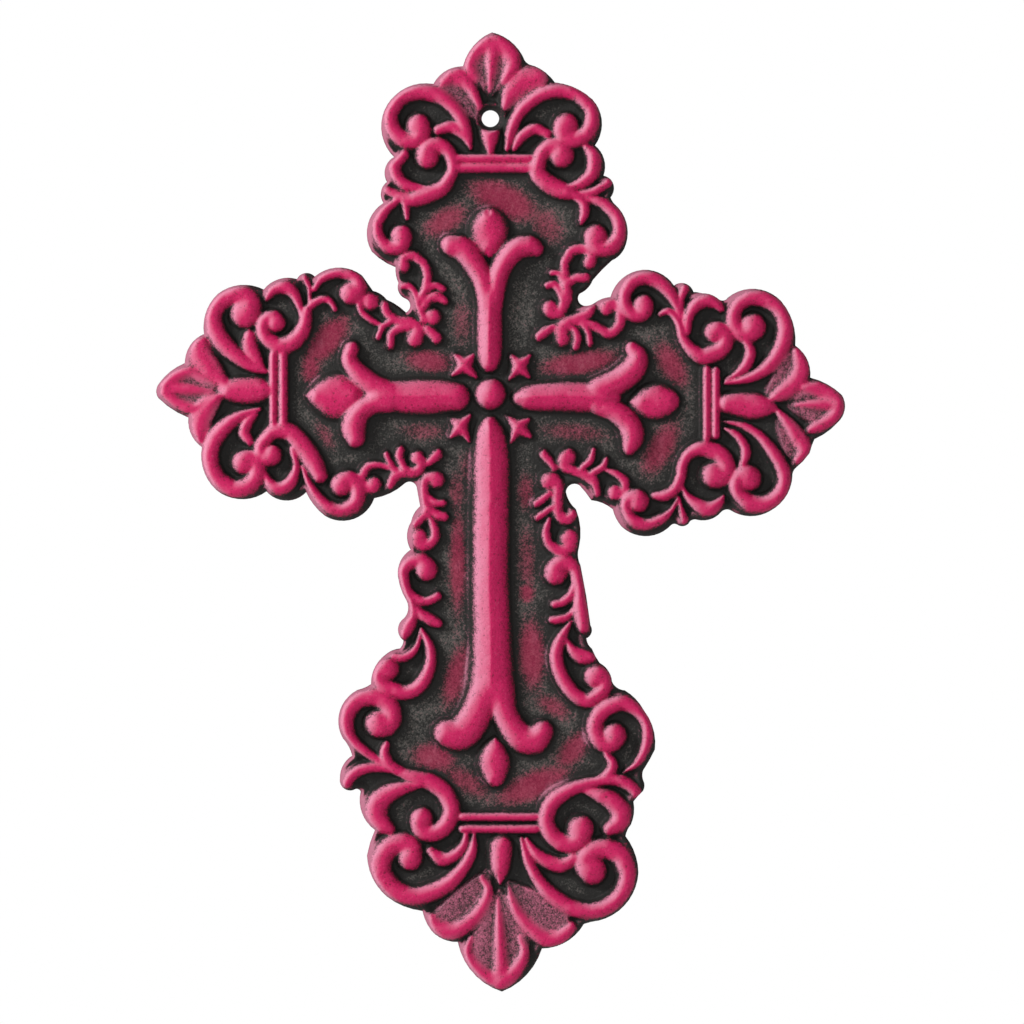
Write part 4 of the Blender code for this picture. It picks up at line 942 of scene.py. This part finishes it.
@dataclass
class Shading:
    """A material under construction, with one way to add any node."""

    name: str
    material: bpy.types.Material = field(init=False)
    tree: bpy.types.NodeTree = field(init=False)
    shader: bpy.types.Node = field(init=False)

    def __post_init__(self) -> None:
        """Start a material with its shader."""
        self.material = bpy.data.materials.new(self.name)
        self.material.use_nodes = True
        self.tree = self.material.node_tree
        self.shader = self.tree.nodes["Principled BSDF"]

    def node(self, kind: str, settings: dict[str, Any] | None = None, **values: Any) -> bpy.types.Node:
        """Add a node.

        Args:
            kind: The node's type.
            settings: Properties that are set first.
            **values: Inputs by name, with spaces as underscores.

        Returns:
            The node.
        """
        node = self.tree.nodes.new(kind)
        for key, value in (settings or {}).items():
            setattr(node, key, value)
        for key, value in values.items():
            feed(self.tree, node.inputs[key.replace("_", " ")], value)
        return node

    def value(
        self, kind: str, settings: dict[str, Any] | None = None, output: str = "Fac", **values: Any
    ) -> Value:
        """Add a node and wrap one of its outputs.

        Args:
            kind: The node's type.
            settings: Properties that are set first.
            output: The output's name.
            **values: Inputs by name, with spaces as underscores.

        Returns:
            The output.
        """
        return Value(self.tree, self.node(kind, settings, **values).outputs[output])

    def blend(self, share: Value, first: Any, second: Any) -> bpy.types.NodeSocket:
        """Mix two colours.

        Args:
            share: How much of the second.
            first: The first colour.
            second: The second colour.

        Returns:
            The mixed colour.
        """
        node = self.tree.nodes.new("ShaderNodeMix")
        node.data_type = "RGBA"
        colours = [slot for slot in node.inputs if slot.type == "RGBA"]
        feed(self.tree, node.inputs[0], share)
        feed(self.tree, colours[0], first)
        feed(self.tree, colours[1], second)
        return next(slot for slot in node.outputs if slot.type == "RGBA")


@dataclass(frozen=True)
class Cues:
    """What the finish of a place depends on: its depth, noises around a half, and maps from 0 to 1."""

    depth: Value
    grain: Value
    speck: Value
    cloud: Value
    hatch: Value
    uneven: Value
    faced: Value
    crest: Value
    brushed: Value
    # The darker ground beside each form: partly bare black ground, partly painted shade
    bare_and_shaded: Value
    hollow: Value
    # Slopes facing the key lamp, where a highlight is painted
    highlight_slope: Value


@dataclass(frozen=True)
class DryBrushedIron:
    """Magenta paint dry-brushed over a black ground on cast iron."""

    iron: Colour = (0.015, 0.014, 0.013, 1.0)
    grey: Colour = (0.105, 0.102, 0.092, 1.0)
    deep: Colour = (0.36, 0.005, 0.060, 1.0)
    paint: Colour = (0.58, 0.009, 0.105, 1.0)
    # Pale pink for real wear and hollows, also used for painted glints and a painted highlight on slopes
    # facing the key lamp
    dusty_and_highlight: Colour = (0.64, 0.220, 0.330, 1.0)
    field_height: float = 0.0040
    rim_start: float = 0.0004
    rim_end: float = 0.0018
    millimetres: float = 1000.0
    grain_scale: float = 2400.0
    speck_scale: float = 950.0
    cloud_scale: float = 110.0
    pit_scale: float = 1500.0
    hatch_scale: float = 2600.0
    hatch_slants: tuple[float, float] = (0.9, -0.6)
    hatch_stretch: tuple[float, float, float] = (0.4, 1.0, 1.0)
    hatch_lift: float = 0.06
    ground_roughness: float = 0.62
    paint_roughness: float = 0.48
    sheen: float = 0.25
    bump_depth: float = 0.00022

    def hatching(self, s: Shading, coordinates: bpy.types.NodeSocket) -> Value:
        """Add the fine slanted strokes of a stiff brush, crossed two ways.

        Args:
            s: The material.
            coordinates: Its places.

        Returns:
            The larger of the two ways' noise, around a half.
        """
        ways = []
        for slant in self.hatch_slants:
            about = {"rotation_type": "Y_AXIS"}
            turned = s.node("ShaderNodeVectorRotate", about, Vector=coordinates, Angle=slant)
            drawn = s.node("ShaderNodeVectorMath", {"operation": "MULTIPLY"})
            feed(s.tree, drawn.inputs[0], turned.outputs[0])
            feed(s.tree, drawn.inputs[1], self.hatch_stretch)
            ways.append(
                s.value("ShaderNodeTexNoise", Vector=drawn.outputs[0], Scale=self.hatch_scale, Detail=1.0)
            )
        return (ways[0] | ways[1]) - self.hatch_lift

    def cues(self, s: Shading, coordinates: bpy.types.NodeSocket) -> Cues:
        """Add the noises and read the maps that the finish depends on.

        Args:
            s: The material.
            coordinates: Its places.

        Returns:
            All of them.
        """
        place = s.node("ShaderNodeSeparateXYZ", Vector=coordinates)
        depth = Value(s.tree, place.outputs["Y"])
        grain, speck, cloud = (
            s.value("ShaderNodeTexNoise", Vector=coordinates, Scale=scale, Detail=detail, Roughness=roughness)
            for scale, detail, roughness in (
                (self.grain_scale, 2.0, 0.6),
                (self.speck_scale, 3.0, 0.65),
                (self.cloud_scale, 3.0, 0.6),
            )
        )
        maps = {
            name: s.value("ShaderNodeAttribute", {"attribute_name": name})
            for name in ("crest", "brushed", "bare_and_shaded", "hollow", "highlight_slope")
        }
        return Cues(
            depth=depth,
            grain=grain,
            speck=speck,
            cloud=cloud,
            hatch=self.hatching(s, coordinates),
            uneven=(speck - 0.5) * 1.6 + (grain - 0.5) * 1.8,
            faced=(0.0 - depth).between(self.rim_start, self.rim_end),
            **maps,
        )

    def coverage(self, c: Cues) -> Value:
        """Say how much paint covers a place.

        High forms and crests take it fully, with fine chips. The brush has reached some of the field and the
        hollows.
        Slopes that face the key lamp take less of the full coat and more of the thin one, part of a painted
        highlight. The ground beside a form takes little, partly as bare black ground and partly as painted
        shade.

        Args:
            c: What it depends on.

        Returns:
            The share of paint.
        """
        height = (0.0 - c.depth - self.field_height) * self.millimetres
        # Slopes facing the key lamp lose some of the full coat, part of a painted highlight
        favour = (c.cloud - 0.5) * 0.6 + c.crest * 1.5 + c.hollow * 0.7 - c.highlight_slope * 0.7
        raised = (height * 0.7 + c.uneven * 1.4 + favour).between(0.9, 2.7)
        # A thin coat: brushed field and hollows, more on slopes facing the key lamp (painted highlight), less
        # beside each form (painted shade along with bare black ground)
        partial_coat = (c.brushed * 1.2 | c.hollow * 0.95) + c.highlight_slope * 0.5 - c.bare_and_shaded * 0.6
        partial_coat = partial_coat + c.uneven * 0.6 + (c.hatch - 0.5) * 1.0 + (c.cloud - 0.5) * 0.5
        chips = (c.speck * 0.6 + c.grain * 0.5).between(0.36, 0.50)
        return (raised * (0.4 + chips * 0.6) | partial_coat.between(0.08, 1.05) * 0.66) * c.faced

    def ground(self, s: Shading, c: Cues) -> bpy.types.NodeSocket:
        """Mix the black ground with the grey of scuffed iron, which is taken away beside each form, partly as
        bare black ground and partly as painted shade.

        Args:
            s: The material.
            c: What it depends on.

        Returns:
            The colour.
        """
        # Beside each form the grey is taken away: painted shade, along with bare black ground
        scuffed = c.uneven * 0.9 + (c.hatch - 0.5) * 1.0 - c.bare_and_shaded * c.faced * 1.3
        scuffed = (scuffed + (c.cloud - 0.5) * 0.8 + 0.38).between(0.0, 0.9)
        return s.blend(scuffed, self.iron, self.grey)

    def coat(self, s: Shading, c: Cues) -> bpy.types.NodeSocket:
        """Mix the paint: rich on the crests, deep beside them, and pale pink in hollows, on random spots of
        wear that also serve as painted glints, and on slopes facing the key lamp as a painted highlight.

        Args:
            s: The material.
            c: What it depends on.

        Returns:
            The colour.
        """
        rich = (c.cloud * 1.0 + c.speck * 1.5 + c.grain * 1.2 + c.crest * 1.0 - 1.95).between(0.0, 0.9)
        # Random spots, more on the crests: partly real wear, partly painted glints
        wear_and_glints = (c.uneven * 0.8 + c.crest * 0.25).between(0.35, 0.85)
        # Pale pink on slopes facing the key lamp is a painted highlight; in the hollows it is pale paint
        dust_and_highlight = (wear_and_glints * 0.3 + c.highlight_slope * 0.9) | c.hollow * 0.6
        return s.blend(dust_and_highlight, s.blend(rich, self.deep, self.paint), self.dusty_and_highlight)

    def make(self) -> bpy.types.Material:
        """Build the finish.

        Returns:
            The material.
        """
        s = Shading("dry_brushed_iron")
        coordinates = s.node("ShaderNodeTexCoord").outputs["Object"]
        c = self.cues(s, coordinates)
        coverage = self.coverage(c)
        feed(s.tree, s.shader.inputs["Base Color"], s.blend(coverage, self.ground(s, c), self.coat(s, c)))
        smoother = coverage * (self.ground_roughness - self.paint_roughness)
        feed(s.tree, s.shader.inputs["Roughness"], self.ground_roughness - smoother + (c.grain - 0.5) * 0.2)
        s.shader.inputs["Specular IOR Level"].default_value = self.sheen
        pits = s.value(
            "ShaderNodeTexNoise", Vector=coordinates, Scale=self.pit_scale, Detail=4.0, Roughness=0.7
        )
        bump = s.node("ShaderNodeBump", Strength=1.0, Distance=self.bump_depth, Height=pits + c.speck * 0.6)
        feed(s.tree, s.shader.inputs["Normal"], bump.outputs["Normal"])
        return s.material


def deselect() -> None:
    """Select nothing."""
    bpy.ops.object.select_all(action="DESELECT")


def apply(piece: bpy.types.Object, kind: str, **settings: Any) -> None:
    """Add a modifier to a piece, set it up and apply it.

    Args:
        piece: The object.
        kind: The modifier's type.
        **settings: Its properties.
    """
    modifier = piece.modifiers.new(kind.lower(), kind)
    for key, value in settings.items():
        setattr(modifier, key, value)
    bpy.context.view_layer.objects.active = piece
    bpy.ops.object.modifier_apply(modifier=modifier.name)


@dataclass
class CarvedCross:
    """The casting: a scalloped slab whose front carries the whole relief."""

    relief: Relief
    body: str = "root"
    turn_step: float = math.radians(9)
    slab_depth: float = 0.0005
    tool_height: float = 0.02
    hole_radius: float = 0.00255
    hole_sides: int = 56
    triangles: int = 190_000
    smooth_angle: float = math.radians(50)
    tall_rise: float = 0.0015
    # Spread and strength of the darker ground beside each form, partly painted shade
    bare_and_shaded_blur: float = 4.0
    bare_and_shaded_share: float = 1.8

    def carved_block(self) -> bpy.types.Object:
        """Add a fine grid over the front, raise it to the relief and close it behind.

        Returns:
            The block, which goes past the outline all round.
        """
        relief = self.relief
        columns, rows = len(relief.xs), len(relief.ys)
        deselect()
        bpy.ops.mesh.primitive_grid_add(x_subdivisions=columns - 1, y_subdivisions=rows - 1, size=1)
        block = bpy.context.object
        block.name = "carved_cross"
        points = np.empty(len(block.data.vertices) * 3)
        block.data.vertices.foreach_get("co", points)
        points = points.reshape(-1, 3)
        column = np.rint((points[:, 0] + 0.5) * (columns - 1)).astype(int)
        row = np.rint((0.5 - points[:, 1]) * (rows - 1)).astype(int)
        points[:, 0] = (relief.xs[column] - HOLE_AT[0]) * WIDTH / GRID_WIDTH
        points[:, 1] = -relief.field_height - relief.rise[row, column]
        points[:, 2] = (HOLE_AT[1] - relief.ys[row]) * STEP
        block.data.vertices.foreach_set("co", points.ravel())
        block.data.update()
        bpy.ops.object.mode_set(mode="EDIT")
        bpy.ops.mesh.select_mode(type="EDGE")
        bpy.ops.mesh.select_all(action="DESELECT")
        bpy.ops.mesh.select_non_manifold(
            extend=False, use_boundary=True, use_wire=False, use_multi_face=False
        )
        back = relief.field_height + self.slab_depth
        bpy.ops.mesh.extrude_edges_move(TRANSFORM_OT_translate={"value": (0, back, 0)})
        bpy.ops.mesh.edge_face_add()
        bpy.ops.mesh.select_all(action="SELECT")
        bpy.ops.mesh.normals_make_consistent(inside=False)
        bpy.ops.object.mode_set(mode="OBJECT")
        return block

    def outline_tool(self) -> bpy.types.Object:
        """Shape the scalloped outline as a deep block, pierced by the hanging hole.

        Returns:
            The block that the front is cut to.
        """
        outline = self.relief.outline(self.turn_step)
        deselect()
        bpy.ops.mesh.primitive_circle_add(vertices=len(outline), radius=1, fill_type="NGON")
        tool = bpy.context.object
        for vertex, (x, y) in zip(tool.data.vertices, outline):
            vertex.co = ((x - HOLE_AT[0]) * WIDTH / GRID_WIDTH, 0, (HOLE_AT[1] - y) * STEP)
        bpy.ops.object.mode_set(mode="EDIT")
        bpy.ops.mesh.select_all(action="SELECT")
        bpy.ops.mesh.extrude_region_move(TRANSFORM_OT_translate={"value": (0, -self.tool_height, 0)})
        bpy.ops.mesh.select_all(action="SELECT")
        bpy.ops.mesh.normals_make_consistent(inside=False)
        bpy.ops.object.mode_set(mode="OBJECT")
        deselect()
        bpy.ops.mesh.primitive_cylinder_add(
            vertices=self.hole_sides,
            radius=self.hole_radius,
            depth=3 * self.tool_height,
            rotation=(math.pi / 2, 0, 0),
        )
        bore = bpy.context.object
        apply(tool, "BOOLEAN", operation="DIFFERENCE", object=bore, solver="EXACT")
        bpy.data.objects.remove(bore, do_unlink=True)
        return tool

    def note_paint(self, cross: bpy.types.Object) -> None:
        """Keep on each point what decides how much paint it has.

        Args:
            cross: The finished mesh.
        """
        mesh = cross.data
        points = np.empty(len(mesh.vertices) * 3)
        mesh.vertices.foreach_get("co", points)
        points = points.reshape(-1, 3)
        relief = self.relief
        raised = np.clip(relief.rise / self.tall_rise, 0, 1)
        maps = {
            "crest": relief.crest,
            "brushed": relief.brushed(),
            # Blurred height around each form, for the darker ground beside it: partly bare black ground,
            # partly painted shade
            "bare_and_shaded": np.clip(soften(raised, self.bare_and_shaded_blur / relief.cell) * self.bare_and_shaded_share, 0, 1),
            "hollow": relief.hollow,
            # Slopes facing the key lamp, where a highlight is painted
            "highlight_slope": relief.highlight_slope(),
        }
        for name, values in maps.items():
            attribute = mesh.attributes.new(name, "FLOAT", "POINT")
            attribute.data.foreach_set("value", relief.sample(values, points))

    def build(self) -> bpy.types.Object:
        """Cut the outline from the carved block, thin its mesh and dress it.

        Returns:
            The finished piece.
        """
        cross = self.carved_block()
        tool = self.outline_tool()
        apply(cross, "BOOLEAN", operation="INTERSECT", object=tool, solver="MANIFOLD")
        bpy.data.objects.remove(tool, do_unlink=True)
        count = sum(len(face.vertices) - 2 for face in cross.data.polygons)
        LOG.info("carved_cross cut to its outline: %d triangles", count)
        apply(cross, "DECIMATE", ratio=min(1.0, self.triangles / count), use_collapse_triangulate=True)
        deselect()
        cross.select_set(True)
        bpy.context.view_layer.objects.active = cross
        bpy.ops.object.shade_smooth_by_angle(angle=self.smooth_angle)
        self.note_paint(cross)
        cross.data.materials.clear()
        cross.data.materials.append(DryBrushedIron().make())
        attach(cross, self.body)
        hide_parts(NODE)
        return cross


@dataclass(frozen=True)
class Lamp:
    """A square soft lamp."""

    name: str
    place: tuple[float, float, float]
    size: float
    power: float

    def hang(self, target: tuple[float, float, float]) -> None:
        """Hang the lamp.

        Args:
            target: The point that it faces.
        """
        data = bpy.data.lights.new(self.name, "AREA")
        data.size = self.size
        data.energy = self.power
        lamp = bpy.data.objects.new(self.name, data)
        bpy.context.scene.collection.objects.link(lamp)
        lamp.location = self.place
        aim = Vector(target) - Vector(self.place)
        lamp.rotation_euler = aim.to_track_quat("-Z", "Y").to_euler()


@dataclass(frozen=True)
class Studio:
    """A pale floor, soft lamps and a long-lens camera square to the cross."""

    view_centre: tuple[float, float, float] = (0.0063, -0.004, -0.1147)
    view_width: float = 0.2983
    distance: float = 1.8
    floor_level: float = -0.42
    floor_size: float = 2.4
    floor_dark: Colour = (0.80, 0.80, 0.80, 1.0)
    floor_light: Colour = (0.86, 0.86, 0.86, 1.0)
    floor_roughness: float = 0.8
    surround: float = 0.35
    lamps: tuple[Lamp, ...] = (
        Lamp("key", (-1.25, -0.75, 0.55), 0.35, 24.0),
        Lamp("fill", (0.2, -1.6, 0.3), 0.9, 3.3),
    )

    def floor(self) -> bpy.types.Object:
        """Lay the pale floor below the hanging cross.

        Returns:
            The floor.
        """
        deselect()
        bpy.ops.mesh.primitive_plane_add(size=self.floor_size, location=(0, 0, self.floor_level))
        floor = bpy.context.object
        floor.name = "studio_floor"
        s = Shading("pale_floor")
        coordinates = s.node("ShaderNodeTexCoord").outputs["Object"]
        mottle = s.value("ShaderNodeTexNoise", Vector=coordinates, Scale=6.0, Detail=4.0)
        feed(s.tree, s.shader.inputs["Base Color"], s.blend(mottle, self.floor_dark, self.floor_light))
        s.shader.inputs["Roughness"].default_value = self.floor_roughness
        floor.data.materials.append(s.material)
        return floor

    def camera(self) -> None:
        """Set the camera at the photograph's angle."""
        data = bpy.data.cameras.new("front")
        data.sensor_width = 36.0
        data.lens = 36.0 * self.distance / self.view_width
        data.clip_end = 20.0
        camera = bpy.data.objects.new("front", data)
        bpy.context.scene.collection.objects.link(camera)
        x, y, z = self.view_centre
        camera.location = (x, y - self.distance, z)
        camera.rotation_euler = (math.pi / 2, 0, 0)
        bpy.context.scene.camera = camera

    def build(self) -> None:
        """Set up the floor, the lamps, the white surround and the camera."""
        self.floor()
        for lamp in self.lamps:
            lamp.hang(self.view_centre)
        world = bpy.data.worlds.new("white_surround")
        world.use_nodes = True
        tree = world.node_tree
        tree.nodes["Background"].inputs["Color"].default_value = (1.0, 1.0, 1.0, 1.0)
        seen = Value(tree, tree.nodes.new("ShaderNodeLightPath").outputs["Is Camera Ray"])
        feed(tree, tree.nodes["Background"].inputs["Strength"], seen * (1 - self.surround) + self.surround)
        bpy.context.scene.world = world
        bpy.context.scene.view_settings.view_transform = "Standard"
        self.camera()


def main() -> None:
    """Carve the relief, build the cross and set up the studio."""
    relief = Relief()
    relief.carve()
    LOG.info("relief carved on %d by %d cells", len(relief.xs), len(relief.ys))
    cross = CarvedCross(relief).build()
    LOG.info("%s: %d faces", cross.name, len(cross.data.polygons))
    Studio().build()


if __name__ == "__main__":
    logging.basicConfig(level=logging.INFO, format="%(message)s")
    main()
